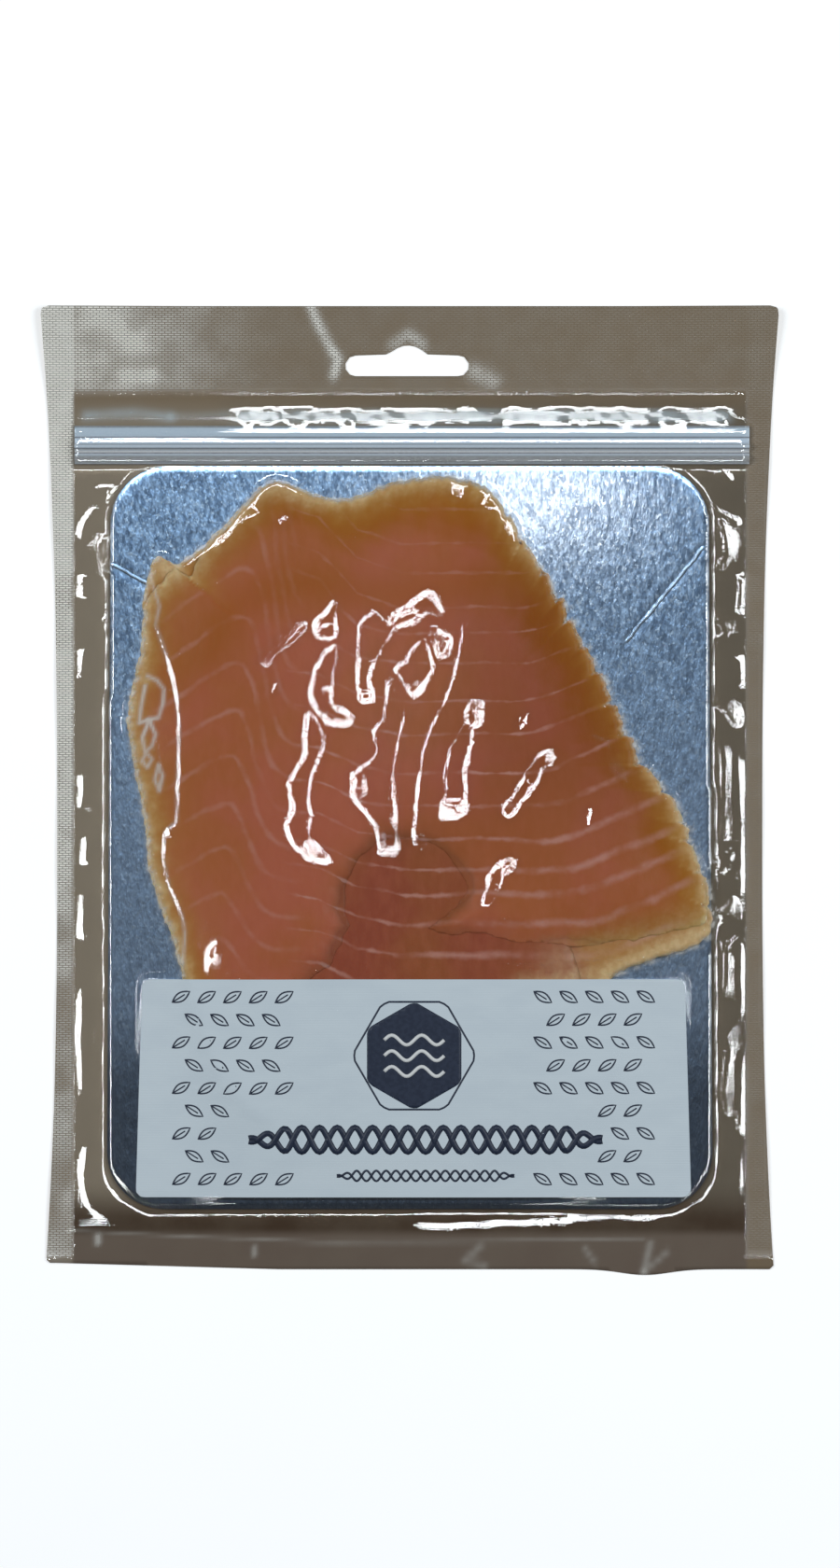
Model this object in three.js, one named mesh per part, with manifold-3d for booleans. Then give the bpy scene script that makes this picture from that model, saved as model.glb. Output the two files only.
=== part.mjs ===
// A vacuum-packed portion of sliced smoked salmon, lying face up.
// Millimetres, +Z up, +Y towards the hang hole. The origin is under the middle of the pouch.
//
// From the bottom up: the pouch's back film, a foil board let into it, three slices of salmon,
// and a paper label that lies over the lower slices. The clear front film over the board and
// the salmon is left open here: the pouch solid has the back film, the welded margins, the
// slope of film round the board, the header with its hang hole and the bed of the zip.

import * as THREE from 'three';
import { mergeVertices } from 'three/addons/utils/BufferGeometryUtils.js';
import Module from 'manifold-3d';

const wasm = await Module();
wasm.setup();

const { clamp, degToRad, smoothstep } = THREE.MathUtils;

// ---------------------------------------------------------------- driving dimensions

const GAP = 0.3; // clearance between pieces that only touch
const CUT_HEIGHT = 20; // how far cutting prisms reach above and below
const QUARTER_CIRCLE_HANDLE = 0.5523; // a cubic curve's handle, as a share of the radius

const POUCH = {
  top: 129.75, // straight top edge
  bottom: -128.2, // bottom edge, before its rise and its dip
  bottomRise: 1.7, // the bottom edge climbs towards the left corner
  bottomDip: 1.55, // and dips once on the right
  dipX: 63,
  dipWidth: 9,
  waistY: -13.5, // the vacuum draws the sides in most here
  waistHalfWidth: 94.4,
  topFlare: 4.5,
  bottomFlare: 3.1,
  flarePower: 2.6,
  topLeftRadius: 1,
  topRightRadius: 2.5,
  backFilm: 0.3,
  weld: 0.4, // both films, welded and embossed
  innerHalfWidth: 90.2, // inner edge of the side welds
};

const HEADER = { bottom: 102.8, curl: 1.5, curlFromX: 55 };

const HANG_HOLE = {
  left: -17.3,
  right: 15.9,
  bottom: 111,
  shoulder: 116.4,
  humpX: -0.5,
  humpTop: 119.2,
  humpHalfWidth: 5.2,
  endRadius: 2.6,
};

const ZIP = {
  left: -89.7,
  right: 90.9,
  bottom: 87.35,
  top: 97.6,
  strip: 0.7, // thickness of the welded strip under the ribs
  ribHeight: 1.1,
  ribHalfWidth: 1.15,
  ribCentres: [88.9, 92.1],
  flangeCrown: 0.35,
};

const PILLOW = { height: 1.5, bottom: ZIP.top + GAP, top: HEADER.bottom, halfWidth: 89.5 };

const BOARD = {
  thickness: 1,
  topHalfWidth: 80,
  bottomHalfWidth: 81.1,
  top: 86.75,
  bottom: -112,
  cornerRadius: 15.5,
};

const MARGIN = { slope: 5, puff: 0.7, ripple: 0.55, rippleLength: 46 };

const SALMON = {
  centre: new THREE.Vector2(0.25, 6.75),
  samples: 96,
  lower: 2, // thickness of each slice
  middle: 1.8, // at its thickest: it is a wedge that thins out towards its rim
  upper: 1.8,
  edge: 0.5, // thickness left at a slice's rim
  edgeWidth: 1.1, // how far the rim is bevelled inwards
  drape: 9, // the upper slice starts to climb this far outside the middle one
  wedge: [ // the middle slice's thickness, at distances inwards from its rim
    { inwards: 0, thickness: 0.4 },
    { inwards: 4, thickness: 0.8 },
    { inwards: 11, thickness: 1.1 },
    { inwards: 18, thickness: 1.35 },
    { inwards: 27, thickness: 1.6 },
    { inwards: 36, thickness: 1.8 },
  ],
  swell: 0.3, // height of the gentle waves in the upper slice
  swellLength: 44,
};

const LABEL = {
  thickness: 0.25,
  top: -50.4,
  bottom: -108.8,
  topHalfWidth: 72.6,
  bottomHalfWidth: 74.3,
  centreX: 1,
  cornerRadius: 2,
  columns: 22,
  rows: 10,
};

const BOARD_BASE = POUCH.backFilm;
const BOARD_TOP = BOARD_BASE + BOARD.thickness;
const RIM_HEIGHT = BOARD_TOP + GAP;
const LOWER_TOP = BOARD_TOP + SALMON.lower;
const MIDDLE_TOP = LOWER_TOP + SALMON.middle;

// ---------------------------------------------------------------- solids and booleans

/** A closed geometry as a solid that booleans can work on. */
function toSolid(geometry) {
  const bare = geometry.clone();
  bare.deleteAttribute('normal');
  bare.deleteAttribute('uv');
  const merged = mergeVertices(bare, 1e-5);
  return new wasm.Manifold(
    new wasm.Mesh({
      numProp: 3,
      vertProperties: new Float32Array(merged.attributes.position.array),
      triVerts: new Uint32Array(merged.index.array),
    }),
  );
}

/** A solid back as a geometry. */
function toGeometry(solid) {
  const mesh = solid.getMesh();
  const geometry = new THREE.BufferGeometry();
  geometry.setAttribute('position', new THREE.BufferAttribute(mesh.vertProperties, 3));
  geometry.setIndex(new THREE.BufferAttribute(mesh.triVerts, 1));
  return geometry;
}

/** The straight prism over a flat outline, from height low to height high. */
function prism(shape, low, high) {
  const options = { depth: high - low, bevelEnabled: false, curveSegments: 6 };
  return new THREE.ExtrudeGeometry(shape, options).translate(0, 0, low);
}

/** The prism over an outline, tall enough to cut right through, from height low up. */
function cutter(shape, low = -CUT_HEIGHT) {
  return toSolid(prism(shape, low, CUT_HEIGHT));
}

/** A rectangle as an outline. */
function rectangle(left, bottom, right, top) {
  return new THREE.Shape([
    new THREE.Vector2(left, bottom),
    new THREE.Vector2(right, bottom),
    new THREE.Vector2(right, top),
    new THREE.Vector2(left, top),
  ]);
}

/** A four-sided outline with rounded corners. Corners run anticlockwise. */
function roundedQuad(corners, radius) {
  const shape = new THREE.Shape();
  corners.forEach((corner, i) => {
    const before = corners[(i + 3) % 4];
    const after = corners[(i + 1) % 4];
    const start = corner.clone().lerp(before, radius / corner.distanceTo(before));
    const end = corner.clone().lerp(after, radius / corner.distanceTo(after));
    const first = start.clone().lerp(corner, QUARTER_CIRCLE_HANDLE);
    const second = end.clone().lerp(corner, QUARTER_CIRCLE_HANDLE);
    if (i === 0) shape.moveTo(start.x, start.y);
    else shape.lineTo(start.x, start.y);
    shape.bezierCurveTo(first.x, first.y, second.x, second.y, end.x, end.y);
  });
  return shape;
}

/** A closed sheet over a lattice of x and y lines, between two heights given by functions. */
function latticeSheet(xs, ys, lowAt, highAt) {
  const positions = [];
  const place = (heightAt) => {
    for (const y of ys) for (const x of xs) positions.push(x, y, heightAt(x, y));
  };
  place(highAt);
  place(lowAt);
  const columns = xs.length;
  const rows = ys.length;
  const under = columns * rows;
  const indices = [];
  for (let row = 0; row < rows - 1; row += 1) {
    for (let column = 0; column < columns - 1; column += 1) {
      const a = row * columns + column;
      const b = a + 1;
      const c = a + columns + 1;
      const d = a + columns;
      indices.push(a, b, c, a, c, d);
      indices.push(a + under, c + under, b + under, a + under, d + under, c + under);
    }
  }
  const rim = [];
  for (let column = 0; column < columns; column += 1) rim.push(column);
  for (let row = 1; row < rows; row += 1) rim.push(row * columns + columns - 1);
  for (let column = columns - 2; column >= 0; column -= 1) rim.push((rows - 1) * columns + column);
  for (let row = rows - 2; row > 0; row -= 1) rim.push(row * columns);
  rim.forEach((a, i) => {
    const b = rim[(i + 1) % rim.length];
    indices.push(a, a + under, b + under, a, b + under, b);
  });
  const geometry = new THREE.BufferGeometry();
  geometry.setAttribute('position', new THREE.Float32BufferAttribute(positions, 3));
  geometry.setIndex(indices);
  return geometry;
}

/** A closed body through rings of points, from the middle of its underside round to its top. */
function ringBody(rings, bottomCentre, topCentre) {
  const points = [bottomCentre, ...rings.flat(), topCentre];
  const count = rings[0].length;
  const last = points.length - 1;
  const at = (ring, i) => 1 + ring * count + (i % count);
  const indices = [];
  for (let i = 0; i < count; i += 1) {
    indices.push(0, at(0, i + 1), at(0, i));
    for (let ring = 0; ring < rings.length - 1; ring += 1) {
      const [a, b] = [at(ring, i), at(ring, i + 1)];
      const [c, d] = [at(ring + 1, i + 1), at(ring + 1, i)];
      indices.push(a, b, c, a, c, d);
    }
    indices.push(at(rings.length - 1, i), at(rings.length - 1, i + 1), last);
  }
  return new THREE.BufferGeometry().setFromPoints(points).setIndex(indices);
}

/** Evenly spaced lines from low to high. */
function evenLines(low, high, steps) {
  return Array.from({ length: steps + 1 }, (_, i) => low + ((high - low) * i) / steps);
}

/** Lines mirrored about zero. */
function mirrored(lines) {
  return [...lines.map((line) => -line).reverse(), ...lines];
}

// ---------------------------------------------------------------- board

/** The board's outline, grown by a clearance. It is a little wider at its lower end. */
function boardShape(clearance = 0) {
  const topHalf = BOARD.topHalfWidth + clearance;
  const bottomHalf = BOARD.bottomHalfWidth + clearance;
  const corners = [
    new THREE.Vector2(-bottomHalf, BOARD.bottom - clearance),
    new THREE.Vector2(bottomHalf, BOARD.bottom - clearance),
    new THREE.Vector2(topHalf, BOARD.top + clearance),
    new THREE.Vector2(-topHalf, BOARD.top + clearance),
  ];
  return roundedQuad(corners, BOARD.cornerRadius + clearance);
}

/** How far a point lies outside the board's outline; negative inside. */
function boardDistance(x, y) {
  const along = clamp((BOARD.top - y) / (BOARD.top - BOARD.bottom), 0, 1);
  const half = BOARD.topHalfWidth + (BOARD.bottomHalfWidth - BOARD.topHalfWidth) * along;
  const middle = (BOARD.top + BOARD.bottom) / 2;
  const reach = (BOARD.top - BOARD.bottom) / 2;
  const dx = Math.abs(x) - (half - BOARD.cornerRadius);
  const dy = Math.abs(y - middle) - (reach - BOARD.cornerRadius);
  const outside = Math.hypot(Math.max(dx, 0), Math.max(dy, 0));
  return outside + Math.min(Math.max(dx, dy), 0) - BOARD.cornerRadius;
}

function boardGeometry() {
  return prism(boardShape(), BOARD_BASE, BOARD_TOP);
}

// ---------------------------------------------------------------- pouch

/** Half the pouch's width at a height y: a pincushion, drawn in at the waist. */
function pouchHalfWidth(y) {
  const above = clamp((y - POUCH.waistY) / (POUCH.top - POUCH.waistY), 0, 1);
  const below = clamp((POUCH.waistY - y) / (POUCH.waistY - POUCH.bottom), 0, 1);
  const flareAbove = POUCH.topFlare * above ** POUCH.flarePower;
  const flareBelow = POUCH.bottomFlare * below ** POUCH.flarePower;
  return POUCH.waistHalfWidth + flareAbove + flareBelow;
}

/** The bottom edge, which rises to the left and dips once on the right. */
function pouchBottom(x) {
  const rise = POUCH.bottomRise * clamp((-35 - x) / 60, 0, 1);
  const dip = POUCH.bottomDip * Math.exp(-(((x - POUCH.dipX) / POUCH.dipWidth) ** 2));
  return POUCH.bottom + rise - dip;
}

function pouchShape() {
  const sideSteps = 18;
  const bottomSteps = 30;
  const { top, topLeftRadius, topRightRadius } = POUCH;
  const halfAtTop = pouchHalfWidth(top);
  const shape = new THREE.Shape();
  const cornerX = pouchHalfWidth(POUCH.bottom);
  shape.moveTo(-cornerX, pouchBottom(-cornerX));
  for (let i = 1; i <= bottomSteps; i += 1) {
    const x = -cornerX + (2 * cornerX * i) / bottomSteps;
    shape.lineTo(x, pouchBottom(x));
  }
  for (let i = 1; i < sideSteps; i += 1) {
    const y = POUCH.bottom + ((top - topRightRadius - POUCH.bottom) * i) / sideSteps;
    shape.lineTo(pouchHalfWidth(y), y);
  }
  shape.lineTo(pouchHalfWidth(top - topRightRadius), top - topRightRadius);
  shape.quadraticCurveTo(halfAtTop, top, halfAtTop - topRightRadius, top);
  shape.lineTo(-halfAtTop + topLeftRadius, top);
  shape.quadraticCurveTo(-halfAtTop, top, -halfAtTop, top - topLeftRadius);
  for (let i = sideSteps - 1; i >= 1; i -= 1) {
    const y = POUCH.bottom + ((top - topLeftRadius - POUCH.bottom) * i) / sideSteps;
    shape.lineTo(-pouchHalfWidth(y), y);
  }
  return shape;
}

/** The slot with a hump that hangs the pack on a peg. */
function hangHoleShape() {
  const { left, right, bottom, shoulder, humpX, humpTop, humpHalfWidth, endRadius } = HANG_HOLE;
  const middle = (bottom + shoulder) / 2;
  const shape = new THREE.Shape();
  shape.moveTo(left + endRadius, bottom);
  shape.lineTo(right - endRadius, bottom);
  shape.quadraticCurveTo(right, bottom, right, middle);
  shape.quadraticCurveTo(right, shoulder, right - endRadius, shoulder);
  shape.lineTo(humpX + humpHalfWidth, shoulder + 0.4);
  shape.quadraticCurveTo(humpX + humpHalfWidth / 2, humpTop, humpX, humpTop);
  shape.quadraticCurveTo(humpX - humpHalfWidth / 2, humpTop, humpX - humpHalfWidth, shoulder + 0.4);
  shape.lineTo(left + endRadius, shoulder);
  shape.quadraticCurveTo(left, shoulder, left, middle);
  shape.quadraticCurveTo(left, bottom, left + endRadius, bottom);
  return shape;
}

/** How far the loose film lifts off the surface that the pack lies on. */
function pouchLift(x, y) {
  const side = smoothstep(Math.abs(x), HEADER.curlFromX, POUCH.waistHalfWidth);
  const curl = HEADER.curl * side * smoothstep(y, HEADER.bottom, POUCH.top);
  const edge = smoothstep(Math.abs(x), POUCH.innerHalfWidth, POUCH.waistHalfWidth + 3);
  const wave = 0.5 + 0.5 * Math.sin((2 * Math.PI * y) / MARGIN.rippleLength + x / 40);
  return curl + MARGIN.ripple * edge * wave;
}

/** The front of the pouch: welded margins, the slope up to the board and the loose pillow. */
function pouchFront(x, y) {
  const outside = boardDistance(x, y);
  const slope = (RIM_HEIGHT - POUCH.weld) * (1 - smoothstep(outside, 0, MARGIN.slope));
  const sideWidth = POUCH.innerHalfWidth - BOARD.topHalfWidth;
  const sideStrip = clamp((Math.abs(x) - BOARD.topHalfWidth) / sideWidth, 0, 1);
  const alongBoard = smoothstep(y, BOARD.bottom, BOARD.bottom + 12) * (1 - smoothstep(y, 75, BOARD.top));
  const puff = MARGIN.puff * Math.sin(Math.PI * sideStrip) * alongBoard;
  const across = clamp((y - PILLOW.bottom) / (PILLOW.top - PILLOW.bottom), 0, 1);
  const ends = 1 - smoothstep(Math.abs(x), PILLOW.halfWidth - 5, PILLOW.halfWidth);
  const pillow = PILLOW.height * Math.sin(Math.PI * across) * ends;
  return POUCH.weld + slope + puff + pillow + pouchLift(x, y);
}

function pouchGeometry() {
  const xs = mirrored([12, 34, 55, 66, 72, 76.5, 80, 82.5, 85, 87.5, 90.2, 93, 96, 101]);
  const ys = [
    -133, -124, -119, -116.5, -114.5, -112, -108.5, -104, -98, -84, -68, -52, -36, -20, -4, 12, 28, 44,
    58, 68, 75, 80, 84, 87.3, 92, 97.9, 99.1, 100.3, 101.5, 102.8, 106, 112, 120, 133,
  ];
  const sheet = toSolid(latticeSheet(xs, ys, pouchLift, pouchFront));
  const zipBed = rectangle(ZIP.left - GAP, BOARD.top + GAP, ZIP.right + GAP, ZIP.top + GAP);
  const pouch = sheet
    .intersect(cutter(pouchShape()))
    .subtract(cutter(hangHoleShape()))
    .subtract(cutter(boardShape(GAP), BOARD_BASE))
    .subtract(cutter(zipBed, POUCH.weld));
  return toGeometry(pouch);
}

// ---------------------------------------------------------------- zip

/** The press-to-close strip: a flat flange and two ribs, drawn in section and run along X. */
function zipGeometry() {
  const { bottom, top, strip, ribHeight, ribHalfWidth, ribCentres, flangeCrown } = ZIP;
  const section = new THREE.Shape(); // its x is the pack's y, its y is the height
  section.moveTo(bottom, 0);
  section.lineTo(bottom, strip);
  for (const centre of ribCentres) {
    section.lineTo(centre - ribHalfWidth, strip);
    const crown = strip + 2 * ribHeight;
    section.quadraticCurveTo(centre, crown, centre + ribHalfWidth, strip);
  }
  const flangeStart = ribCentres[1] + ribHalfWidth + 0.4;
  section.lineTo(flangeStart, strip);
  section.quadraticCurveTo((flangeStart + top) / 2, strip + 2 * flangeCrown, top, strip);
  section.lineTo(top, 0);
  const options = { depth: ZIP.right - ZIP.left, bevelEnabled: false, curveSegments: 6 };
  const geometry = new THREE.ExtrudeGeometry(section, options);
  geometry.applyMatrix4(
    new THREE.Matrix4().makeBasis(
      new THREE.Vector3(0, 1, 0),
      new THREE.Vector3(0, 0, 1),
      new THREE.Vector3(1, 0, 0),
    ),
  );
  return geometry.translate(ZIP.left, 0, POUCH.weld);
}

// ---------------------------------------------------------------- salmon

// The lowest slice's outline, clockwise from the left flank. It has a torn tab at the upper
// left and a pointed tip at the lower right, and runs on under the label.
const LOWER_OUTLINE = [
  [-75.5, 20], [-72, 38], [-70.5, 55.5], [-67, 63], [-63.5, 60.5], [-55.5, 65.5], [-47, 73.7],
  [-37, 83], [-27, 80], [-18, 78], [-4, 82.5], [10, 84], [21, 80.5], [31, 66], [38, 55.5],
  [45, 42.5], [54, 25], [62, 7.5], [71, -3], [76, -16], [79.6, -26], [79.6, -39.5], [68, -44.5],
  [55, -50], [56, -66], [50, -84], [30, -94], [2, -96], [-28, -94], [-47, -84], [-57, -64],
  [-62.5, -43], [-69.5, -22], [-71, -8], [-74, 8],
];

/** The radius of a closed outline about the salmon's centre, at evenly spaced angles. */
function radiiOf(outline) {
  const curve = new THREE.CatmullRomCurve3(
    outline.map(([x, y]) => new THREE.Vector3(x, y, 0)),
    true,
    'centripetal',
  );
  const polar = curve.getPoints(600).map((point) => {
    const dx = point.x - SALMON.centre.x;
    const dy = point.y - SALMON.centre.y;
    return { angle: Math.atan2(dy, dx), radius: Math.hypot(dx, dy) };
  });
  return Array.from({ length: SALMON.samples }, (_, i) => {
    const angle = sampleAngle(i);
    const away = (entry) => Math.abs(turnBetween(entry.angle, angle));
    return polar.reduce((best, entry) => (away(entry) < away(best) ? entry : best)).radius;
  });
}

/** The turn from one angle to another, between minus and plus half a circle. */
function turnBetween(from, to) {
  return Math.atan2(Math.sin(from - to), Math.cos(from - to));
}

/** The angle of a sample, in radians. */
function sampleAngle(i) {
  return (2 * Math.PI * i) / SALMON.samples;
}

/** A smooth bump of height 1 about an angle in degrees. */
function bump(angle, centre, width) {
  return Math.exp(-((turnBetween(angle, degToRad(centre)) / degToRad(width)) ** 2));
}

const LOWER_RADII = radiiOf(LOWER_OUTLINE);

/** The upper slice lies a little inside the lower one, more at the torn tab and at the tip. */
const UPPER_RADII = LOWER_RADII.map((radius, i) => {
  const angle = sampleAngle(i);
  return radius - SALMON.edgeWidth - 0.6 - 4.5 * bump(angle, 141, 5) - 3 * bump(angle, -36, 9);
});

/** The middle slice is smaller: its smoked edge shows through the upper one as a brown band. */
const MIDDLE_RADII = LOWER_RADII.map((radius, i) => {
  const angle = sampleAngle(i);
  return radius - 12 - 9 * bump(angle, 118, 34) - 7 * bump(angle, -35, 22) - 6 * bump(angle, -100, 30);
});

/** A point at a radius from the salmon's centre, along one of the sample angles. */
function polarPoint(i, radius, height) {
  const angle = sampleAngle(i);
  const x = SALMON.centre.x + radius * Math.cos(angle);
  const y = SALMON.centre.y + radius * Math.sin(angle);
  return new THREE.Vector3(x, y, height);
}

/** The gentle waves of a slice that lies on others. */
function swellAt(x, y) {
  const turn = (2 * Math.PI) / SALMON.swellLength;
  return SALMON.swell * Math.sin(turn * (x + 0.3 * y)) * Math.cos(turn * (0.8 * y - 0.2 * x));
}

/** The swell at a ring point, faded out towards the slice's rim. */
function ringSwell(i, radius, rim) {
  const point = polarPoint(i, radius, 0);
  return swellAt(point.x, point.y) * smoothstep(rim - radius, 3, 12);
}

/** A slice that is flat on both sides, with a bevelled rim. */
function flatSlice(radii, base, thickness) {
  const indices = radii.map((_, i) => i);
  const top = base + thickness;
  const rings = [
    indices.map((i) => polarPoint(i, radii[i], base)),
    indices.map((i) => polarPoint(i, radii[i], base + SALMON.edge)),
    indices.map((i) => polarPoint(i, radii[i] - SALMON.edgeWidth, top)),
  ];
  const { x, y } = SALMON.centre;
  return ringBody(rings, new THREE.Vector3(x, y, base), new THREE.Vector3(x, y, top));
}

/** The middle slice: flat below, and a shallow dome of rings above. */
function middleSliceGeometry() {
  const indices = MIDDLE_RADII.map((_, i) => i);
  const rings = [
    indices.map((i) => polarPoint(i, MIDDLE_RADII[i], LOWER_TOP)),
    ...SALMON.wedge.map(({ inwards, thickness }) =>
      indices.map((i) => polarPoint(i, MIDDLE_RADII[i] - inwards, LOWER_TOP + thickness)),
    ),
  ];
  const { x, y } = SALMON.centre;
  return ringBody(rings, new THREE.Vector3(x, y, LOWER_TOP), new THREE.Vector3(x, y, MIDDLE_TOP));
}

/** The part of the upper slice that is torn away: an arch, and all below its lower edge. */
function tornShape() {
  const shape = new THREE.Shape();
  shape.moveTo(-28, -52);
  shape.lineTo(-21.5, -46.5);
  shape.lineTo(-15.5, -36.3);
  shape.lineTo(-17, -26);
  shape.quadraticCurveTo(-13, -13, -3.5, -12.8);
  shape.quadraticCurveTo(12, -12.5, 15, -27);
  shape.quadraticCurveTo(12, -33, 4.2, -36.8);
  shape.lineTo(28, -39.8);
  shape.lineTo(48, -41.5);
  shape.lineTo(66, -38.5);
  shape.lineTo(90, -33);
  shape.lineTo(90, -110);
  shape.lineTo(-28, -110);
  return shape;
}

/** The upper slice lies on the lower one and climbs over the middle one. */
function upperSliceGeometry() {
  const indices = UPPER_RADII.map((_, i) => i);
  const overMiddle = MIDDLE_TOP + GAP;
  const ring = (radiusAt, heightAt) =>
    indices.map((i) => polarPoint(i, radiusAt(i), heightAt(i, radiusAt(i))));
  const foot = (i) => MIDDLE_RADII[i] + SALMON.drape;
  const inside = (inwards) => (i) => MIDDLE_RADII[i] - inwards;
  const onWedge = SALMON.wedge.map(({ inwards, thickness }) => ({
    radiusAt: inside(inwards),
    height: LOWER_TOP + GAP + thickness,
  }));
  const core = SALMON.wedge.at(-1).inwards;
  const within = (share) => (i) => (MIDDLE_RADII[i] - core) * share;
  const topOver = (height) => (i, radius) =>
    height + SALMON.upper + ringSwell(i, radius, UPPER_RADII[i]);
  const rings = [
    ...onWedge.toReversed().map(({ radiusAt, height }) => ring(radiusAt, () => height)),
    ring(foot, () => LOWER_TOP),
    ring((i) => UPPER_RADII[i], () => LOWER_TOP),
    ring((i) => UPPER_RADII[i], () => LOWER_TOP + SALMON.edge),
    ring((i) => UPPER_RADII[i] - SALMON.edgeWidth, () => LOWER_TOP + SALMON.upper),
    ...onWedge.map(({ radiusAt, height }) => ring(radiusAt, topOver(height))),
    ring(within(0.75), topOver(overMiddle)),
    ring(within(0.5), topOver(overMiddle)),
    ring(within(0.25), topOver(overMiddle)),
  ];
  const { x, y } = SALMON.centre;
  const underside = new THREE.Vector3(x, y, overMiddle);
  const top = new THREE.Vector3(x, y, overMiddle + SALMON.upper + swellAt(x, y));
  return toGeometry(toSolid(ringBody(rings, underside, top)).subtract(cutter(tornShape())));
}

// ---------------------------------------------------------------- label

/** The radius of one of the slices in the direction of a point. */
function radiusTowards(radii, x, y) {
  const angle = Math.atan2(y - SALMON.centre.y, x - SALMON.centre.x);
  const place = ((angle / (2 * Math.PI)) * radii.length + radii.length) % radii.length;
  const first = Math.floor(place);
  const second = (first + 1) % radii.length;
  return radii[first % radii.length] + (place - first) * (radii[second] - radii[first % radii.length]);
}

/** 1 well inside a slice, falling to 0 over a length of taut paper outside it. */
function coverOf(radii, x, y) {
  const radius = Math.hypot(x - SALMON.centre.x, y - SALMON.centre.y);
  return 1 - smoothstep(radius - radiusTowards(radii, x, y), -2, 14);
}

/** The underside of the label, which lies over the slices and bends down to the board. */
function labelUnderside(x, y) {
  const untorn = Math.max(smoothstep(y, -66, -50), 1 - smoothstep(x, -28, -6));
  const lower = SALMON.lower * coverOf(LOWER_RADII, x, y);
  const middle = (SALMON.middle + GAP) * coverOf(MIDDLE_RADII, x, y);
  const upper = (SALMON.upper + SALMON.swell) * untorn * coverOf(UPPER_RADII, x, y);
  return RIM_HEIGHT + GAP + lower + middle + upper;
}

function labelGeometry() {
  const { top, bottom, topHalfWidth, bottomHalfWidth, centreX, cornerRadius } = LABEL;
  const spread = bottomHalfWidth + 2;
  const xs = evenLines(centreX - spread, centreX + spread, LABEL.columns);
  const ys = evenLines(bottom - 1, top + 1, LABEL.rows);
  const front = (x, y) => labelUnderside(x, y) + LABEL.thickness;
  const outline = roundedQuad(
    [
      new THREE.Vector2(centreX - bottomHalfWidth, bottom),
      new THREE.Vector2(centreX + bottomHalfWidth, bottom),
      new THREE.Vector2(centreX + topHalfWidth, top),
      new THREE.Vector2(centreX - topHalfWidth, top),
    ],
    cornerRadius,
  );
  return toGeometry(toSolid(latticeSheet(xs, ys, labelUnderside, front)).intersect(cutter(outline)));
}

// ---------------------------------------------------------------- the pack

/** One named piece with its own material. */
function piece(name, geometry, look) {
  const mesh = new THREE.Mesh(geometry, new THREE.MeshStandardMaterial(look));
  mesh.name = name;
  return mesh;
}

const pack = new THREE.Group();
pack.add(
  piece('pouch', pouchGeometry(), { color: 0x857867, roughness: 0.35, metalness: 0 }),
  piece('zip_closure', zipGeometry(), { color: 0xc4ced6, roughness: 0.3, metalness: 0 }),
  piece('board', boardGeometry(), { color: 0x9fb2c8, roughness: 0.32, metalness: 0.9 }),
  piece(
    'salmon_slice_lower',
    flatSlice(LOWER_RADII, BOARD_TOP, SALMON.lower),
    { color: 0xb3803f, roughness: 0.4, metalness: 0 },
  ),
  piece('salmon_slice_middle', middleSliceGeometry(), { color: 0x8f4a30, roughness: 0.4, metalness: 0 }),
  piece('salmon_slice_upper', upperSliceGeometry(), { color: 0xa85c3c, roughness: 0.4, metalness: 0 }),
  piece('label', labelGeometry(), { color: 0xd9e0e3, roughness: 0.7, metalness: 0 }),
);

export default pack;
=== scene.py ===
"""A vacuum-packed portion of sliced smoked salmon, dressed round its CAD frame.

Lengths are in millimetres, in the frame's axes, until a mesh is made: +Z comes up out of the
front of the pack and +Y points to its hang hole. From the bottom up there are the back film,
the foil board, three slices of salmon, the clear front film with the zip, and the label.
"""

import math

import bpy
import numpy as np
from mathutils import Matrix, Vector


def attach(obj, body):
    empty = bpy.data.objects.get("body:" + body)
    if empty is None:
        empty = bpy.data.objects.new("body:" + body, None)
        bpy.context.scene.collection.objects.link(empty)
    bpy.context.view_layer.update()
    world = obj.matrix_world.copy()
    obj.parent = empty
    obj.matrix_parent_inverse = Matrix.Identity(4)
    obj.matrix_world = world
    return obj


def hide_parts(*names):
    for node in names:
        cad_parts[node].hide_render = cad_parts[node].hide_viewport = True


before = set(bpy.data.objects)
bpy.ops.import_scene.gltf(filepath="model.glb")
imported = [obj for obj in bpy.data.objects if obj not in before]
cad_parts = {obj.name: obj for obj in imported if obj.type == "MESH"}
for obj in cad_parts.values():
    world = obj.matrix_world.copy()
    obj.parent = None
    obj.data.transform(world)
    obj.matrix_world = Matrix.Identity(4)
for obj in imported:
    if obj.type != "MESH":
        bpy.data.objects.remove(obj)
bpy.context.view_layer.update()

MM = 0.001
PHOTO_SIZE = (900, 1680)
PHOTO_MM_PER_PIXEL = 0.25
PHOTO_CENTRE = (2.75, 1.75)  # the point of the pack in the middle of the picture
CAMERA_HEIGHT = 1400.0
SENSOR_MM = 36.0

# ---------------------------------------------------------------- driving dimensions

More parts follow.
